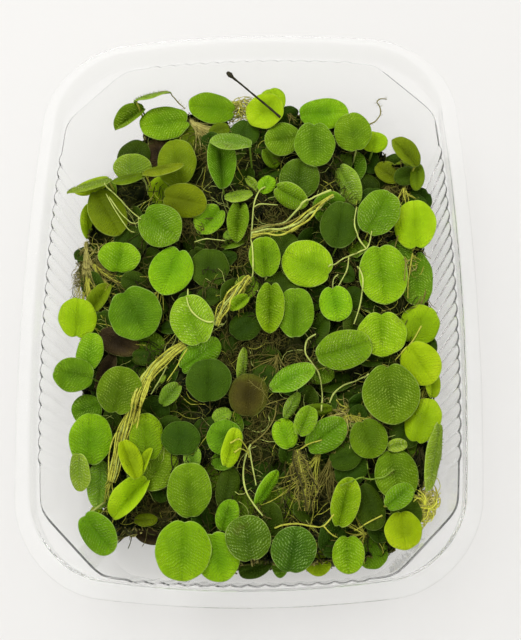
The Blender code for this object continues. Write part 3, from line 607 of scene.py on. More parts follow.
# Lower leaves
# Smaller, older and half-hidden leaves of the same plant, caught in the top of the root mat between
# the larger ones; some are folded, curled or brown.
# x, y, length, width, heading and tone, then pitch, roll and fold, where they are not 0, and height,
# where a leaf stands free of the mat
LOWER_LEAVES = [
    (-34.8, -45.3, 12.5, 7.5, 112, "yellow", 0, 30, 25, 27.5),
    (-30.3, -45.5, 8.5, 5, 70, "yellow", 0, -30, 35, 27), (42.4, -56.7, 9.5, 7, 40, "rough", 0, 0, 20, 28.5),
    (-27.5, -46.5, 14.5, 12.5, 60, "mid", 0, 0, 5, 25), (-30.5, -38, 14, 10.5, 95, "bright", 5, 15, 0, 25.5),
    (16.2, -34.6, 9.5, 7.5, 65, "rough", 0, 10, 30, 28), (-5.2, -42, 12, 7, 75, "yellow", 0, 40, 10, 27.5),
    (-15, -13.6, 15, 9, 38, "rough", 0, 30, 0, 28.5), (-27.5, 46.3, 14, 9, 12, "olive", 0, -45, 0, 30.5),
    (-38.5, 44.2, 11, 7, 192, "olive", 0, 40, 0, 30.5), (-28, 42.5, 12, 10, 150, "yellow", 0, -15),
    (53, -3.5, 13.5, 12, 60, "yellow"), (-13.2, 32, 11, 11, 230, "rough", 0, 0, 30),
    (28.3, -72.7, 11, 10, 270, "bright", 0, 0, 20), (-44.2, -51.5, 14.5, 8.5, 270, "pale", 0, -40),
    (42.5, -49.5, 15, 13, 280, "mid", 0, 0, 4), (-12.8, 15, 13, 12.5, 90, "dark", 0, 0, 4),
    (-33, 76, 13, 8, 15, "pale", 0, -55, 0, 27), (-40, 68.5, 12.5, 10, 219, "mid", 0, 0, 50, 26),
    (-38.5, 55.5, 12, 11, 60, "dark"), (-38.5, 50.5, 9, 12.5, 90, "pale", 20, 0, 0, 24),
    (-30, 57, 12, 10, 120, "dead"), (-28, 47.5, 15, 7, 10, "dead"), (-20, 62, 11, 10, 300, "olive"),
    (-51.5, 42.5, 15.5, 7, 205, "pale", 15, 45, 0, 29), (-52, 45, 12, 7, 205, "yellow", 5, 20, 0, 24),
    (-10.5, 64, 7, 6, 20, "olive"), (-2.5, 63, 10, 10, 80, "dark"), (7, 78, 10, 9, 130, "yellow"),
    (5, 43.5, 6.5, 6, 60, "bright", 0, 0, 10), (0.5, 44.3, 7, 3.5, 310, "pale", 0, 0, 30),
    (40, 60, 8, 9, 80, "yellow"), (49.3, 52.5, 12, 8.5, 130, "olive", 10, 15, 25, 26),
    (44.5, 50, 10, 8, 140, "olive", 0, 10, 10), (53, 46, 9.5, 5, 265, "olive", 0, 25, 0, 22),
    (53.5, 41.5, 9, 4, 265, "olive", 0, 30), (31, 44, 15, 9, 295, "pale", 0, 45),
    (50, 47.5, 8, 7, 200, "dark", 0, 0, 10, 21), (54, -22, 9, 6.5, 95, "yellow", 10, 30, 25, 23),
    (29, 52, 9, 7, 60, "dark"), (-38.5, 25.5, 11, 11, 80, "dark"), (-48, 7, 12, 8, 60, "olive", 0, 0, 40),
    (-53.8, 36, 13, 6, 92, "yellow", 0, 30), (-4, 31, 13.5, 10, 265, "mid", 0, 0, 45),
    (-4, 40, 9.5, 7, 10, "pale", 0, -35), (-6.5, 27.5, 5.5, 3.5, 40, "pale"),
    (-3, 2, 7, 6, 220, "bright", 0, 0, 45), (10, 21, 11, 10, 60, "dark"), (9.5, 8, 11, 10, 20, "dark"),
    (39, 37, 13, 11, 90, "dark"), (46, 20, 10, 9, 280, "mid"), (51.5, 12, 18, 10.5, 270, "mid"),
    (10.2, -37.3, 9.5, 7.5, 110, "bright", 0, 0, 5), (-0.5, -26, 13, 12, 90, "rust"),
    (-2.2, -16, 11, 5, 80, "pale", 0, 60), (-1.5, -4.5, 10, 9, 40, "dark"),
    (-41, -7.5, 14, 9, 335, "dead", 0, 0, 10), (-44.5, -17, 13, 6, 250, "dead", 0, 0, 30),
    (-49.5, -29, 9, 10, 200, "mid"), (-20.5, -38.5, 10.5, 11.5, 90, "dark"),
    (-24, -25, 8.5, 7, 50, "pale", 0, 0, 40), (-26.3, -20.5, 3, 1.5, 60, "pale"),
    (-46.5, -58.5, 4, 3.5, 20, "yellow"), (-31, -61.5, 7, 4, 0, "olive"),
    (-30, -66, 9, 5, 350, "dead", 0, 0, 20), (51, 52.5, 10, 8, 200, "olive"),
    (7.2, 76, 9.5, 9, 100, "yellow", 0, 0, 10, 24), (-8.5, -31.5, 6, 5, 30, "pale"),
    (-7.5, -38.5, 11, 10.5, 150, "mid", 0, 0, 5), (-17, -44, 7, 6.5, 90, "pale", 0, 0, 35),
    (-6.5, -61, 9.5, 7.5, 75, "bright", 0, 0, 25), (1, -75, 10, 6, 200, "dark"),
    (8.5, -76.3, 8, 5, 270, "mid"), (19.8, -75.7, 8.5, 8, 300, "yellow"), (36, -72.7, 10, 10, 250, "mid"),
    (12, -22, 9, 8, 130, "dark", 0, 10), (34.3, -58.5, 14, 9, 290, "dark"),
    (4.7, -53, 12.5, 6, 58, "bright", 0, 55), (-6.5, -53, 13, 7, 80, "dark", 0, 20),
    (29.5, -47.5, 11, 9, 50, "dark"), (28, -44, 10, 8, 20, "dark"), (19.5, -30.5, 10, 4, 5, "olive", 0, 30),
    (12.5, -29.3, 9, 4, 60, "pale", 0, 30), (45, -60, 10, 9, 300, "dark"), (46, -36, 11, 10, 250, "dark"),
    (47, 55, 9, 7, 200, "dark", 0, 0, 10), (43, -41, 6, 5, 10, "pale", 0, 0, 35)]
LOWER_LIFT = 0.9
# Height of what lies beside the mat, for a lower leaf, a curled root, a stem and a tuft
LOWER_GROUND, CURL_GROUND, STEM_GROUND, TUFT_GROUND = 14.0, 19.0, 22.0, 17.0
SINK_STEP, SINK_STEPS = 0.45, 9
TRAY_MARGIN = 1.0
INWARD_STEP, INWARD_STEPS = 0.3, 40
# Small leaves that fill what is left: they keep off told leaves by a share of their width, off leaves
# over the mat, and off the middles of bare patches
FILLER_TRIES = 750
TOLD_SHARE, COVER_GAP, PATCH_OVERLAP = 0.4, 0.5, 2.0
FILLER_LENGTHS, FILLER_WIDTHS, FILLER_DEPTHS = (7, 12), (0.75, 1), (0.5, 2.2)
FILLER_FOLD, FILLER_PITCH, FILLER_ROLL = 25, 25, 35
# The fillers lie low in the hollows: their dark tones and capped lightness are painted shade
FILLER_SHADED_TONES = ["dark", "dark", "dark", "dark", "mid"]
FILLER_SHADED_LUCK = 0.3
# Places where bare roots show between the leaves: x, y, radius, number of curled threads, how bright
ROOT_PATCHES = [
    (-2, 22.5, 6.5, 120, 0.9), (-15.5, 62, 7, 120, 1.1), (10, 33, 6.5, 110, 0.9), (2, -35.5, 6.5, 120, 0.9),
    (20, -51, 8.5, 60, 0.7), (28, -31.3, 4.5, 150, 1.3), (52.5, -59, 5, 340, 2.0), (-5, -14, 6, 110, 0.7),
    (-20, 31, 4.5, 60, 0.8), (-51.5, 17, 6, 90, 1.0), (46, 46, 5, 70, 1.0), (49.5, 16, 5, 80, 1.15),
    (-29, -58, 5, 70, 0.8), (4.3, -6.7, 6, 80, 0.8), (-4.5, 76.5, 4, 110, 2.0), (-48, 24, 5, 70, 1.15),
    (16, -17, 5, 60, 0.8), (31, 10, 5, 60, 0.8)]


def sink_clear(points, faces):
    """Lowers a leaf until it is clear of those over it; returns its search tree and whether it is."""
    for _ in range(SINK_STEPS):
        tree = BVHTree.FromPolygons((points * MM).tolist(), faces)
        if not any(tree.overlap(other) for other in leaf_trees):
            return tree, True
        points[:, 2] -= SINK_STEP
    return tree, False


mat_low, mat_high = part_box("root_mat")


def place_over_mat():
    """A random place in the box of the mat, in millimetres."""
    return rng.uniform(mat_low.x, mat_high.x) / MM, rng.uniform(mat_low.y, mat_high.y) / MM


def past_wall(points, margin):
    """How far each point lies past the pocket's plain wall, set in by a margin."""
    return pocket_outline(*np.asarray(points).T, margin, 0.0)


def near(x, y, places, margin):
    """Whether a place lies within the radius and the margin of any row x, y, radius."""
    return any(math.hypot(x - row[0], y - row[1]) < row[2] + margin for row in places)


rng = random.Random(5)
lower_heaps = {tone: Heap() for tone in TONES}
for x, y, length, width, heading, tone, *rest in LOWER_LEAVES:
    pitch, roll, fold, level = (*rest, *[0, 0, 0, None][len(rest):])
    points, faces, told, side = blade(length, width, math.radians(fold), tone, LOWER_GRID)
    points = points @ turned(heading, pitch, roll).T
    if level is None:
        level = height_on(mat_tree, x, y, LOWER_GROUND) + LOWER_LIFT
    points += np.array([x, y, level])
    for _ in range(INWARD_STEPS):
        if past_wall(points, TRAY_MARGIN).max() < 0:
            break
        points -= np.array([x, y, 0]) / math.hypot(x, y) * INWARD_STEP
    leaf_trees.append(sink_clear(points, faces)[0])
    leaf_feet.append(leaf_foot(points, LOWER_GRID))
    lower_heaps[tone].add_leaf(points, faces, told, side)
told_places = [(row[0], row[1], TOLD_SHARE * row[3]) for row in LOWER_LEAVES]
for _ in range(FILLER_TRIES):
    x, y = place_over_mat()
    ground = height_on(mat_tree, x, y)
    if ground is None or height_on(top_tree, x, y) > ground + COVER_GAP:
        continue
    if near(x, y, told_places, 0.0) or near(x, y, ROOT_PATCHES, -PATCH_OVERLAP):
        continue
    tone = rng.choice(FILLER_SHADED_TONES)
    length = rng.uniform(*FILLER_LENGTHS)
    width, fold = length * rng.uniform(*FILLER_WIDTHS), math.radians(rng.uniform(0, FILLER_FOLD))
    points, faces, told, side = blade(length, width, fold, tone, FILLER_GRID)
    heading, pitch = rng.uniform(0, 360), rng.uniform(-FILLER_PITCH, FILLER_PITCH)
    points = points @ turned(heading, pitch, rng.uniform(-FILLER_ROLL, FILLER_ROLL)).T
    points += np.array([x, y, ground - rng.uniform(*FILLER_DEPTHS)])
    tree, is_clear = sink_clear(points, faces)
    if is_clear:
        leaf_trees.append(tree)
        lower_heaps[tone].add_leaf(points, faces, told, side, FILLER_SHADED_LUCK)
for tone, heap in lower_heaps.items():
    if heap.count:
        leaves = heap.make(f"lower_leaves_{tone}", leaf_materials[tone])
        foliage.append(leaves.data)
        tone not in ("dead", "rust")


# Root mat
# The matted tangle of root-like fronds, old stems and rotting leaves under the living leaves. Its colour
# is near black, its own dark tone with painted shade of the hollows between the leaves, mottled and
# streaked brown to olive with lighter threads.
MAT_SINK = 2.8
MAT_LUMPS = 0.9
LUMP_SCALE, FOLD_SCALE = 0.32, 0.4
# Down the sides the folds change a quarter as fast as round them. They set the sides in by the first
# depth everywhere and by up to the second besides.
FOLD_RUN = 0.25
FOLD_DEPTHS = (0.3, 1.7)
# Normals that rise by more than this are the top's; those nearer to level are the sides'
SIDE_SLOPE = 0.4
UNDER_LEAF = 0.4
# Edges longer than so many millimetres get so many cuts
MAT_CUTS = [(3, 3), (1.1, 1)]
foliage_tree = search_tree(foliage)
sculpt = bmesh.new()
sculpt.from_mesh(mat_mesh)
bmesh.ops.remove_doubles(sculpt, verts=sculpt.verts, dist=1e-6)
for longest, cuts in MAT_CUTS:
    long_edges = [edge for edge in sculpt.edges if edge.calc_length() > longest * MM]
    bmesh.ops.subdivide_edges(sculpt, edges=long_edges, cuts=cuts, use_grid_fill=True)
sculpt.normal_update()
for vert in sculpt.verts:
    at = vert.co / MM
    lump = noise.turbulence(at * LUMP_SCALE, 3, False, noise_basis="PERLIN_ORIGINAL")
    if vert.normal.z > SIDE_SLOPE:
        vert.co.z -= (MAT_SINK + MAT_LUMPS * (lump - 0.5) * 2) * MM
        over_it = foliage_tree.ray_cast(Vector((vert.co.x, vert.co.y, 0)), Vector((0, 0, 1)))[0]
        if over_it is not None:
            vert.co.z = min(vert.co.z, over_it.z - UNDER_LEAF * MM)
    elif abs(vert.normal.z) < SIDE_SLOPE:
        fold = noise.turbulence(Vector((at.x, at.y, FOLD_RUN * at.z)) * FOLD_SCALE, 3, False)
        vert.co -= vert.normal * (FOLD_DEPTHS[0] + FOLD_DEPTHS[1] * fold) * MM
root_tangle = new_object("root_tangle", [v.co / MM for v in sculpt.verts],
                         [tuple(v.index for v in f.verts) for f in sculpt.faces])
sculpt.free()

tangle, start = new_material("root_tangle", {"Roughness": 0.85, "Specular IOR Level": 0.06},
                             (0.03, 0.035, 0.01))
place = start.node("TexCoord", output=3)
place = start.node("VectorMath", {"operation": "MULTIPLY"}, {0: place, 1: (1.0, 1.0, 0.35)})
patches = place.noise(110.0, 4.0)
threads = place.noise(620.0, 3.0, 2.6)
# Near black: the mat's own dark tone and painted shade of the hollows between the leaves
colour = patches.step(0.42, 0.62).blend((0.005, 0.008, 0.002), (0.026, 0.032, 0.005))
colour = threads.step(0.54, 0.74).blend(colour, (0.09, 0.09, 0.016))
paint(tangle, colour=colour, roughness=0.6 + threads * 0.3, height=(threads + patches * 0.6, 0.5))
root_tangle.data.materials.append(tangle)
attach(root_tangle, "root")
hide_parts("root_mat")


# Roots
# Each braided strand is a bundle of root-like fronds: long pale yellow threads that wind about each
# other, some tan, olive or brown and all mottled darker, and bearded with fine hairs.
def frame_along(route):
    """Unit steps ahead, across and up at each point of a route."""
    ahead = np.gradient(route, axis=0)
    ahead /= np.maximum(np.linalg.norm(ahead, axis=1, keepdims=True), 1e-9)
    across = np.cross(ahead, [0.0, 0.0, 1.0])
    weak = np.linalg.norm(across, axis=1) < 0.05
    across[weak] = np.cross(ahead[weak], [1.0, 0.0, 0.0])
    across /= np.linalg.norm(across, axis=1, keepdims=True)
    return ahead, across, np.cross(across, ahead)


class Threads(Heap):
    """Round tapering threads gathered into one mesh; each has a colour of its own."""

    def thread(self, route, radii, tint, sides, shade=1.0):
        """One closed thread along a route of points in millimetres."""
        route = np.asarray(route, float)
        radii = np.broadcast_to(np.asarray(radii, float), (len(route),))[:, None]
        _, across, rise = frame_along(route)
        rings = []
        for k in range(sides):
            turn = 2 * math.pi * k / sides
            rings.append(route + radii * (math.cos(turn) * across + math.sin(turn) * rise))
        last = (len(route) - 1) * sides
        faces = ring_faces(len(route), sides)
        faces += [tuple(reversed(range(sides))), tuple(range(last, last + sides))]
        self.add(np.stack(rings, 1).reshape(-1, 3), faces, tint=[*[c * shade for c in tint], 1.0])

    def fringe(self, route, count, rise, reach, radii, tint, shade=1.0):
        """Short straight hairs from places along a route, out to any side."""
        for _ in range(count):
            foot, turn = route[rng.randrange(len(route))], rng.uniform(0, 2 * math.pi)
            out = way(turn, rng.uniform(*rise)) * rng.uniform(*reach)
            self.thread([foot + out * s for s in (0, 0.5, 1)], radii, tint, 3, shade)


def thread_finish(name, mottling, roughness):
    """Damp root tissue in each thread's own tint, mottled darker along its length."""
    made, start = new_material(name, {"Roughness": roughness, "Specular IOR Level": 0.12}, (0.3, 0.28, 0.08))
    place = start.node("TexCoord", output=3)
    tint = start.node("Attribute", {"attribute_name": "tint"}, output=0)
    mottle = place.noise(900.0, 3.0)
    cloud = place.noise(220.0, 2.0)
    dark = start.node("Mix", {"data_type": "RGBA", "blend_type": "MULTIPLY"},
                      {0: 1.0, 6: tint, 7: (0.42, 0.34, 0.22, 1)}, output=2)
    colour = ((mottle.step(0.45, 0.7) * 0.6 + cloud.step(0.5, 0.7) * 0.4) * mottling).blend(tint, dark)
    paint(made, colour=colour, roughness=roughness - 0.1 + mottle * 0.25, height=(mottle, 0.08))
    return made


def smooth(points, samples):
    """Points along a smooth curve through the given rows."""
    rows = np.asarray(points, float)
    padded = np.concatenate([rows[:1] * 2 - rows[1:2], rows, rows[-1:] * 2 - rows[-2:-1]])
    made = []
    for k in range(len(rows) - 1):
        a, b, c, d = padded[k:k + 4]
        for t in np.arange(samples) / samples:
            made.append(0.5 * (2 * b + (c - a) * t + (2 * a - 5 * b + 4 * c - d) * t * t
                               + (3 * b - a - 3 * c + d) * t ** 3))
    made.append(rows[-1])
    return np.array(made)


def averaged(heights, window):
    """Heights along a route, each the mean of a window round it."""
    return np.convolve(np.pad(heights, window // 2, mode="edge"), np.ones(window) / window, mode="valid")


# Colours of roots and stems
YELLOW = (0.52, 0.53, 0.065)
TAN = (0.205, 0.185, 0.038)
FAIR = (0.50, 0.46, 0.13)
BROWN = (0.050, 0.047, 0.012)
OLIVE = (0.105, 0.125, 0.016)
PALE = (0.50, 0.58, 0.14)
GREEN = (0.20, 0.32, 0.03)
strand_finish = thread_finish("root_strand", 1.0, 0.62)

# The middle lines of the part's strands: x, y, radius
ROOT_STRANDS = [
    [(26, 38.3, 0.9), (22, 35.2, 1.5), (18.5, 31.8, 1.8), (14.5, 28.4, 1.7), (10, 26.2, 1.5),
     (5, 25.9, 1.1), (0.5, 25, 0.6)],
    [(0, 10.5, 0.6), (-2.5, 8, 1.2), (-5.5, 4, 1.6), (-8, 0, 1.6), (-10.5, -5, 1.1)],
    [(-19.5, -10.5, 1.1), (-25, -14.5, 1.5), (-29.7, -19, 1.5), (-32.2, -25, 1.8), (-34.3, -31, 2.1),
     (-37, -37, 2.2), (-39.3, -44, 1.9), (-41, -51, 1.1)],
    [(13.6, -42.5, 0.8), (14.8, -48, 1.9), (16.3, -54, 2.3), (16, -60, 1.2)]]
# The leaves that a strand lies over, by number
STRAND_OVER = {3: 9}
STRAND_FLATNESS = 0.55
STRAND_HAIRS = 26
STRAND_WINDOW = 13
# Places along a strand's hair, its radius there, and how far it droops
HAIR_SHARES, HAIR_RADII, HAIR_DROOP = (0, 0.4, 0.75, 1), (0.07, 0.055, 0.04, 0.02), 0.25
PALE_STRAND = [YELLOW, YELLOW, PALE, TAN]
GREEN_STRAND = [YELLOW, YELLOW, YELLOW, YELLOW, PALE, OLIVE]
BROWN_STRAND = [YELLOW, TAN, TAN, OLIVE, BROWN]
# Number of threads in each strand, its turns and its spread, the threads' radii and their colours
STRAND_MAKES = [
    (4, 0.35, 1.25, (0.30, 0.38), PALE_STRAND), (11, 0.5, 1.0, (0.18, 0.30), PALE_STRAND),
    (28, 0.4, 1.15, (0.18, 0.30), GREEN_STRAND), (16, 0.15, 1.6, (0.10, 0.18), BROWN_STRAND)]
rng = random.Random(8)
for number, (points, make) in enumerate(zip(ROOT_STRANDS, STRAND_MAKES), 1):
    thread_count, twist, spread, radii, tints = make
    node = f"root_strand_{number}"
    strand_tree = search_tree([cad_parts[node].data])
    middle = smooth(points, 9)
    low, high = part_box(node)
    heights = []
    for x, y, radius in middle:
        height = height_on(strand_tree, x, y, high.z / MM) - radius
        if number in STRAND_OVER:
            height = max(height, height_on(leaf_trees[STRAND_OVER[number] - 1], x, y, 0.0) + 0.5 * radius)
        heights.append(height)
    heights = averaged(heights, STRAND_WINDOW)
    line = np.column_stack([middle[:, :2], heights])
    ahead, across, rise = frame_along(line)
    share = np.linspace(0, 1, len(line))
    bundle = Threads()
    for k in range(thread_count):
        ring = 0.3 + 0.75 * (k % 2) + rng.uniform(-0.15, 0.2)
        turn = 2 * math.pi * (k / thread_count + twist * share * (1 if k % 2 else -1))
        turn += rng.uniform(-0.3, 0.3)
        wobble = 0.25 * np.sin(share * rng.uniform(8, 22) + rng.uniform(0, 6))
        away = middle[:, 2] * 0.8 * (ring + wobble)
        sideways = spread * away * np.cos(turn)
        route = line + sideways[:, None] * across + (STRAND_FLATNESS * away * np.sin(turn))[:, None] * rise
        tint = rng.choice(tints)
        thick = rng.uniform(*radii) * (0.75 + 0.25 * np.sin(share * math.pi))
        bundle.thread(route, thick, tint, 6)
        for _ in range(STRAND_HAIRS):
            i = rng.randrange(2, len(route) - 2)
            out = across[i] * rng.choice([-1, 1]) + rise[i] * rng.uniform(-0.2, 0.6)
            out += ahead[i] * rng.uniform(-0.9, 0.9)
            out /= np.linalg.norm(out)
            reach = rng.uniform(0.6, 1.9)
            hair = []
            for s in HAIR_SHARES:
                hair.append(route[i] + out * reach * s - np.array([0, 0, HAIR_DROOP * reach * s * s]))
            bundle.thread(hair, HAIR_RADII, rng.choice([TAN, YELLOW, BROWN]), 3)
    strand = bundle.make(f"braided_roots_{number}", strand_finish)
    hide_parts(node)


# Root threads
# Loose roots of the tangle: thousands of brown, olive and pale threads that lie over and under each
# other on the mat, thick in the hollows between the leaves.
THREAD_BATCHES, BATCH_THREADS = 2, 1500
THREAD_STEP = 1.5
CURL_STEP = 0.9
PALE_SHARE = 0.2
ROOT_MARGIN = 0.8


def wander(x, y, heading, bend, stray, step, count):
    """Places along a path that bends evenly and strays at random."""
    for _ in range(count):
        yield x, y
        heading += bend + rng.uniform(-stray, stray)
        x += step * math.cos(heading)
        y += step * math.sin(heading)


threads_finish = thread_finish("root_threads", 0.8, 0.7)
rng = random.Random(31)
for batch in range(THREAD_BATCHES):
    gathered = Threads()
    for _ in range(BATCH_THREADS):
        x, y = place_over_mat()
        top = height_on(mat_tree, x, y)
        if top is None:
            continue
        heading, bend = rng.uniform(0, 2 * math.pi), rng.uniform(-0.35, 0.35)
        depth = MAT_SINK * rng.uniform(0.0, 0.9)
        lift = rng.uniform(-0.4, 0.7)
        route = []
        path = wander(x, y, heading, bend, 0.45, THREAD_STEP, rng.randint(4, 10))
        for k, (x, y) in enumerate(path):
            ground = height_on(mat_tree, x, y)
            if ground is None:
                break
            route.append((x, y, ground - depth + lift * math.sin(k * 0.9)))
        if len(route) < 3:
            continue
        if rng.random() < PALE_SHARE:
            shade, tint, thick = rng.uniform(0.7, 1.2), rng.choice([YELLOW, PALE]), 0.09
        else:
            # The darker threads: their own brown and olive, held darker as painted shade of the hollows
            shade, tint, thick = rng.uniform(0.25, 0.8), rng.choice([BROWN, OLIVE, TAN]), 0.13
        gathered.thread(route, thick * rng.uniform(0.6, 1.3), tint, 4, shade)
    loose = gathered.make(f"root_threads_{batch + 1}", threads_finish)

curls = Threads()
for middle_x, middle_y, radius, count, brightness in ROOT_PATCHES:
    for _ in range(count):
        x, y = rng.gauss(middle_x, radius * 0.4), rng.gauss(middle_y, radius * 0.4)
        heading, bend = rng.uniform(0, 2 * math.pi), rng.choice([-1, 1]) * rng.uniform(0.1, 0.5)
        depth, lift = rng.uniform(0.0, 2.2), rng.uniform(0.2, 1.0)
        route = []
        path = wander(x, y, heading, bend, 0.3, CURL_STEP, rng.randint(6, 13))
        for k, (x, y) in enumerate(path):
            ground = height_on(mat_tree, x, y, CURL_GROUND)
            route.append((x, y, ground - depth + lift * math.sin(k * 0.6)))
        if past_wall(route, ROOT_MARGIN).max() > 0:
            continue
        # Painted shade: a curl is darker the deeper it lies in the mat
        shade = rng.uniform(0.5, 1.0) * brightness * (1.0 - 0.2 * depth)
        tint = rng.choice([FAIR, YELLOW] if brightness > 1.1 else [TAN, TAN, OLIVE])
        curls.thread(route, rng.uniform(0.07, 0.13) + 0.02 * brightness, tint, 4, shade)
curled_roots = curls.make("curled_roots", threads_finish)


# Hanging roots
# Round its edge the mat's roots hang down along its sides to the tray's floor: brown and olive
# threads, some of them pale.
HANGING_COUNT = 3000
HANGING_TOPS = (6, 22)
HANGING_STEP = (0.9, 1.6)
FLOOR_CLEARANCE = 1.4
HANGING_MARGIN = 0.9
# Below this height the roots splay out, by up to so much for each millimetre
SPLAY_Z, SPLAY = 6, 0.35
# A hit that lies further in than this is past the mat's side
MAT_SIDE_REACH = 4
side_tree = search_tree([root_tangle.data])


def side_at(turn, z):
    """Where a level line from outside meets the mat's side, in millimetres; None if it misses."""
    away = Vector(way(turn))
    hit = side_tree.ray_cast(away * BESIDE_PART + Vector((0, 0, z * MM)), -away)[0]
    return None if hit is None else np.array(hit) / MM


rng = random.Random(77)
hanging = Threads()
for _ in range(HANGING_COUNT):
    turn, z = rng.choice(turns), rng.uniform(*HANGING_TOPS)
    slip, out, splay = rng.uniform(-0.5, 0.5), rng.uniform(-0.2, 1.1), rng.uniform(0, SPLAY)
    foot = side_at(turn, 8.0)
    if foot is None:
        continue
    route = []
    for _ in range(rng.randint(6, 14)):
        place = side_at(turn, z)
        away = way(turn)
        if place is not None and np.linalg.norm(foot[:2]) - np.linalg.norm(place[:2]) > MAT_SIDE_REACH:
            place = None
        if place is None and route:
            place = np.array([*route[-1][:2], z]) - away * out
        if place is not None and z > FLOOR_CLEARANCE:
            place = place + away * (out + splay * max(SPLAY_Z - z, 0))
            route.append(place - away * max(past_wall(place, HANGING_MARGIN), 0.0))
        slip += rng.uniform(-0.4, 0.4)
        turn += slip / np.linalg.norm(foot[:2])
        z -= rng.uniform(*HANGING_STEP)
    if len(route) > 2:
        shade = rng.uniform(0.35, 1.1)
        tint = rng.choice([BROWN, OLIVE, OLIVE, TAN, TAN, FAIR])
        hanging.thread(route, rng.uniform(0.10, 0.30), tint, 4, shade)
hanging_roots = hanging.make("hanging_roots", threads_finish)


# Stems and root tufts
# Thin pale stalks that carry the leaves and run between them, and the tufts of bearded roots that
# hang from their joints.
# Routes as x, y; then radius, colour and how many radii the stem lies over what is under it, where it
# is not the usual lift
STEMS = [
    ([(26, 38.6), (20, 34.5), (14.5, 29.6), (9, 27.6), (5.4, 26.2), (0, 25)], 0.62, YELLOW, 0.9),
    ([(25.3, 38.5), (21, 36.6), (17.1, 34.4), (11.5, 30.6), (7.5, 28.8), (4, 27.4), (0.5, 25.6)],
     0.5, PALE, 8),
    ([(-0.5, -21.5), (1.6, -23.6), (3.6, -25), (6, -28.5)], 0.13, TAN),
    ([(4.2, -20.5), (3.4, -23), (4.2, -26), (3.6, -29)], 0.12, TAN),
    ([(0, 24.5), (0.4, 31), (1, 37), (2.6, 41), (4.6, 42.6)], 0.42, PALE),
    ([(1, 36), (2.6, 36.9), (5, 37), (8.5, 36.8)], 0.36, PALE),
    ([(0, 24.8), (0.8, 20), (1.1, 15), (0.9, 11), (-0.6, 9)], 0.42, PALE),
    ([(-8, -4), (-12, -5.3), (-16, -3), (-18.4, 1), (-19.2, 7.5)], 0.42, PALE),
    ([(36, 20), (33, 19), (29.5, 17.8), (24, 13.5)], 0.42, PALE),
    ([(30.5, 18), (29.8, 14), (27.6, 10), (26, 7.5)], 0.38, PALE),
    ([(27, 12.6), (25.6, 11), (25.2, 7.6)], 0.36, PALE),
    ([(36, 20), (33.4, 24), (32.4, 28), (33.3, 34)], 0.4, PALE),
    ([(36, 20), (37, 22.5), (37.6, 25)], 0.4, PALE),
    ([(33, 14.5), (34.4, 10), (34, 5), (32.8, 0), (31.4, -4)], 0.4, PALE),
    ([(19.8, -7.5), (17.2, -9.2), (16.6, -13), (18.6, -16), (20.6, -19), (21.4, -25), (21, -31)], 0.42, PALE),
    ([(23.5, -27.5), (25, -24.5), (28, -22), (31.5, -20.8), (35, -20.5)], 0.42, PALE),
    ([(25.6, -26.6), (27, -28), (28.6, -28.5)], 0.3, YELLOW),
    ([(0, -40), (-1.6, -44), (-2.2, -49), (-1.2, -54), (1.2, -58), (3.6, -61)], 0.46, PALE),
    ([(-0.4, -41), (0.4, -46), (1.6, -52)], 0.4, PALE),
    ([(-5.5, -41), (-3, -39.6), (-1, -41.5), (-0.4, -44)], 0.36, YELLOW, 0.7),
    ([(-4.4, -43.5), (-2.4, -42), (-0.6, -42.6)], 0.34, YELLOW, 0.7),
    ([(0, -40), (4, -37), (7, -33), (7.8, -29)], 0.32, TAN, 0.4),
    ([(13.5, -42.5), (17.5, -40.6), (21, -39.6)], 0.36, YELLOW, 0.6),
    ([(7, -64.5), (10, -63.5), (14, -63.2), (18, -63.9), (21, -64), (24, -61)], 0.42, YELLOW),
    ([(21, -64), (23, -66), (25, -67)], 0.34, YELLOW),
    ([(38, -61), (35, -62.4), (32, -64), (30, -65)], 0.36, YELLOW),
    ([(41.8, -48), (38.6, -50.3), (35, -50.4), (32.4, -50), (29, -51.6), (26, -53)], 0.4, GREEN),
    ([(35.2, -50.4), (34.4, -47.6), (34.2, -45)], 0.34, GREEN),
    ([(-31, 75.5), (-29, 76.3), (-26, 75.9), (-24, 74.4), (-22, 72.5)], 0.36, TAN, 0.6),
    ([(38.5, 65), (40.6, 66.2), (42.2, 68.6), (42.2, 71.2), (41.3, 73.2), (42.6, 74.4), (44.6, 74.2)],
     0.34, TAN, 0.6),
    ([(-46, 42), (-42, 39), (-38, 35), (-34, 31.5)], 0.34, PALE),
    ([(-45, 39), (-41, 33.5), (-37, 30.5), (-34, 30)], 0.3, PALE),
    ([(-46, 40), (-42.6, 34), (-39, 29), (-37, 28)], 0.28, PALE),
    ([(-18, 25), (-14, 25.5), (-8, 25.3)], 0.3, PALE, 0.4),
    ([(-25.2, -16.6), (-27.4, -21), (-30, -24.8)], 0.36, PALE),
    ([(-18.7, -12), (-21.5, -16.5), (-25, -21)], 0.3, YELLOW, 0.4),
    ([(52, -4), (49, -9), (46, -12.5), (43.5, -15)], 0.36, YELLOW),
    ([(50.5, 20), (49.5, 15), (48.6, 10), (48.3, 5)], 0.36, YELLOW),
    ([(46, 25), (45, 20.5), (47.5, 16), (47, 9)], 0.34, TAN)]
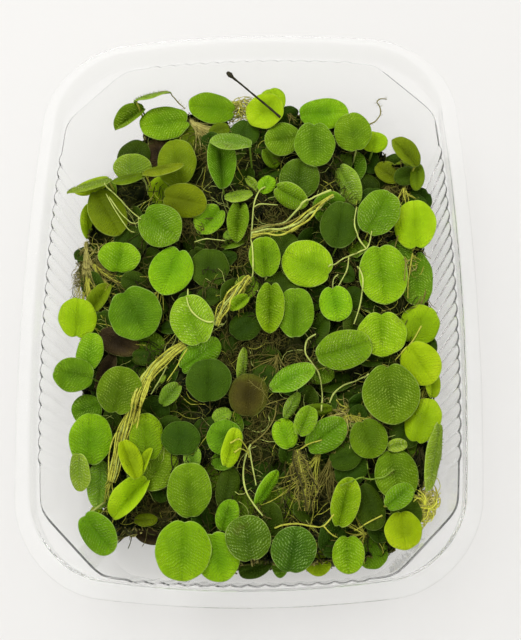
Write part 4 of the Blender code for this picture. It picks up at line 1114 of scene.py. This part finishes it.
# Tufts as x, y of the joint, the way they point, their spread, length, number of roots and colour
TUFTS = [
    (-53.5, 27, 268, 18, 20, 26, FAIR), (-52, 14, 268, 30, 14, 22, YELLOW), (-51, 2, 290, 40, 9, 8, YELLOW),
    (-49, 19, 300, 50, 17, 14, TAN), (-45.5, 41.5, 310, 30, 15, 7, PALE), (54, -20, 250, 40, 9, 10, YELLOW),
    (54, 8, 270, 30, 9, 8, TAN), (50, -55, 250, 80, 10, 18, YELLOW), (50, -41, 275, 25, 11, 9, BROWN),
    (33, -66, 180, 160, 8, 11, YELLOW), (30, -31, 330, 120, 9, 16, YELLOW), (36, -31, 300, 60, 8, 10, TAN),
    (13.5, -43, 262, 44, 19, 9, TAN), (0, 9.5, 235, 40, 13, 9, YELLOW), (-20, 68.5, 312, 34, 16, 30, FAIR),
    (-11, 58, 250, 50, 12, 16, TAN), (1, 71.5, 145, 60, 11, 30, PALE), (-53, 24, 266, 30, 20, 34, FAIR),
    (-50, 18, 300, 60, 15, 14, YELLOW), (11, 73, 300, 50, 8, 8, TAN), (44, 45, 260, 120, 8, 12, TAN),
    (49, 44, 265, 60, 8, 8, YELLOW), (-41, -50, 240, 50, 10, 10, YELLOW), (3, -29, 60, 200, 9, 10, TAN),
    (-2, 30, 270, 120, 9, 12, TAN), (12, 31, 250, 160, 8, 12, TAN), (-31, -62, 0, 60, 9, 10, BROWN),
    (-12, 20, 270, 160, 8, 10, BROWN), (-28, 9, 260, 60, 12, 7, YELLOW), (-19, 0, 255, 30, 14, 6, YELLOW),
    (24, -48, 250, 120, 9, 10, TAN), (8, -13, 220, 200, 9, 12, TAN), (20, -43, 250, 30, 21, 10, YELLOW),
    (24.5, -43, 245, 30, 22, 12, TAN), (16, -43, 255, 40, 20, 9, BROWN)]
STEM_LIFT = 0.5
STEM_SLIMNESS = 0.66
STEM_WINDOW = 7
STEM_STIFFNESS = 0.6
HAIR_SHARE = 0.9
FOOT_REACHES = (1.5, 3, 4.5, 6, 8, 10, 13, 16, 20, 25, 30)
STALK_RADIUS = 0.3
STALK_BEND = [(0, 0), (0.3, 0.25), (0.75, 0.7), (1, 1)]
TUFT_POINTS = 9
TUFT_HAIRS = 6


def laid(points, lift):
    """A stem's route laid over the leaves and the mat, without sharp drops."""
    flat = smooth(points, 7)
    tops = [max(height_on(foliage_tree, x, y, 0.0), height_on(top_tree, x, y, STEM_GROUND))
            for x, y in flat]
    heights = np.array(tops) + lift
    padded = np.pad(heights, STEM_WINDOW // 2, mode="edge")
    high = np.array([padded[k:k + STEM_WINDOW].max() for k in range(len(heights))])
    soft = np.maximum(averaged(high, STEM_WINDOW), heights)
    return np.column_stack([flat, soft * STEM_STIFFNESS + heights * (1 - STEM_STIFFNESS)])


rng = random.Random(14)
stems = Threads()
for points, radius, tint, *lift in STEMS:
    route = laid(points, radius * (lift[0] if lift else STEM_LIFT))
    share = np.linspace(0, 1, len(route))
    swell = radius * (1 + 0.12 * np.sin(share * 17 + radius * 40)) * (1 - 0.25 * share)
    stems.thread(route, swell * STEM_SLIMNESS, tint, 7)
    stems.fringe(route, int(len(route) * HAIR_SHARE), (-0.1, 0.5), (0.6, 1.5), [0.05, 0.04, 0.02], TAN)
for foot in leaf_feet:
    inward = -foot[:2] / np.linalg.norm(foot[:2])
    for reach in FOOT_REACHES:
        ground = height_on(mat_tree, *(foot[:2] + inward * reach))
        if ground is not None:
            break
    if ground is None or foot[2] - ground < 0.5:
        continue
    drop = foot[2] - ground + MAT_SINK
    route = smooth([(*(foot[:2] + inward * reach * a), foot[2] - drop * b) for a, b in STALK_BEND], 5)
    tint = rng.choice([PALE, GREEN, YELLOW])
    stems.thread(route, STALK_RADIUS * rng.uniform(0.8, 1.2), tint, 6, 0.8)
pale_stems = stems.make("pale_stems", thread_finish("pale_stem", 0.35, 0.5))

tufts = Threads()
for x, y, heading, spread, length, count, tint in TUFTS:
    for _ in range(count):
        turn = math.radians(heading + rng.uniform(-spread / 2, spread / 2))
        bend = rng.uniform(-0.12, 0.12)
        reach = length * rng.uniform(0.6, 1.1)
        start_x, start_y = x + rng.uniform(-0.6, 0.6), y + rng.uniform(-0.6, 0.6)
        lift = rng.uniform(0.0, 0.7)
        path = wander(start_x, start_y, turn, bend, 0.15, reach / (TUFT_POINTS - 1), TUFT_POINTS)
        route = []
        for k, (at_x, at_y) in enumerate(path):
            ground = height_on(mat_tree, at_x, at_y, TUFT_GROUND)
            route.append((at_x, at_y, ground + lift * (1 - k / TUFT_POINTS)))
        route = np.array(route)
        route = route[past_wall(route, ROOT_MARGIN) < 0]
        if len(route) < 3:
            continue
        shade = rng.uniform(0.6, 1.15)
        thick = np.linspace(rng.uniform(0.12, 0.21), 0.07, len(route))
        tufts.thread(route, thick, tint, 5, shade)
        tufts.fringe(route, TUFT_HAIRS, (-0.2, 0.4), (0.5, 1.4), [0.045, 0.035, 0.02], tint, 0.7)
root_tufts = tufts.make("root_tufts", threads_finish)


# Dead stalk
# A dark, dried leaf stalk with a knob where its leaf broke off. It leans out over the far leaves.
STALK = [(9.6, 66.0, 0.0, 0.42), (5.6, 69.4, 1.2, 0.38), (1.1, 72.2, 4.0, 0.32), (-2.4, 74.0, 7.0, 0.30),
         (-5.0, 75.2, 9.3, 0.42), (-6.0, 75.8, 10.2, 0.85), (-6.9, 76.3, 11.0, 0.5)]
STALK_COLOUR = (0.03, 0.026, 0.012)
route = smooth(STALK, 8)
route[:, 2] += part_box("dead_stalk")[0].z / MM + 0.5
dried = Threads()
knots = 1 + 0.1 * np.sin(np.arange(len(route)) * 1.3)
dried.thread(route[:, :3], route[:, 3] * knots, STALK_COLOUR, 10)
dead_stalk = dried.make("dried_stalk", thread_finish("dead_stalk", 0.7, 0.6))
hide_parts("dead_stalk")


# Floor and light
# A light table that glows a little through its pale top, and soft even light from a large overhead
# lamp and pale walls.
TABLE_GLOW = 0.47
TABLE_HALF = 2
SKY_STRENGTH = 1.05
LAMP_PLACE = Vector((-0.22, 0.30, 0.75))
floor_mesh = bpy.data.meshes.new("floor")
corners = [(x * TABLE_HALF, y * TABLE_HALF, 0) for x, y in ((-1, -1), (1, -1), (1, 1), (-1, 1))]
floor_mesh.from_pydata(corners, [], [(0, 1, 2, 3)])
floor = bpy.data.objects.new("floor", floor_mesh)
floor.location.z = -0.0004
bpy.context.scene.collection.objects.link(floor)
pale_table, start = new_material("pale_table", {
    "Roughness": 0.6, "Emission Color": (1.0, 0.985, 0.955, 1), "Emission Strength": TABLE_GLOW},
    (0.295, 0.290, 0.282))
floor_mesh.materials.append(pale_table)

world = bpy.data.worlds.new("studio")
world.use_nodes = True
bpy.context.scene.world = world
bpy.context.scene.view_settings.view_transform = "Standard"
sky = Shade(world.node_tree)
upward = sky.node("TexCoord", output=0).split()[2]
tone = upward.step(0.0, 0.75).blend((0.93, 0.93, 0.92), (1.0, 1.0, 1.0))
world.node_tree.links.new(tone.socket, world.node_tree.nodes["Background"].inputs["Color"])
world.node_tree.nodes["Background"].inputs["Strength"].default_value = SKY_STRENGTH

lamp_data = bpy.data.lights.new("overhead", "AREA")
lamp_data.shape = "DISK"
lamp_data.size = 0.5
lamp_data.energy = 3.0
lamp = bpy.data.objects.new("overhead", lamp_data)
lamp.location = LAMP_PLACE
lamp.rotation_euler = LAMP_PLACE.to_track_quat("Z", "Y").to_euler()
bpy.context.scene.collection.objects.link(lamp)
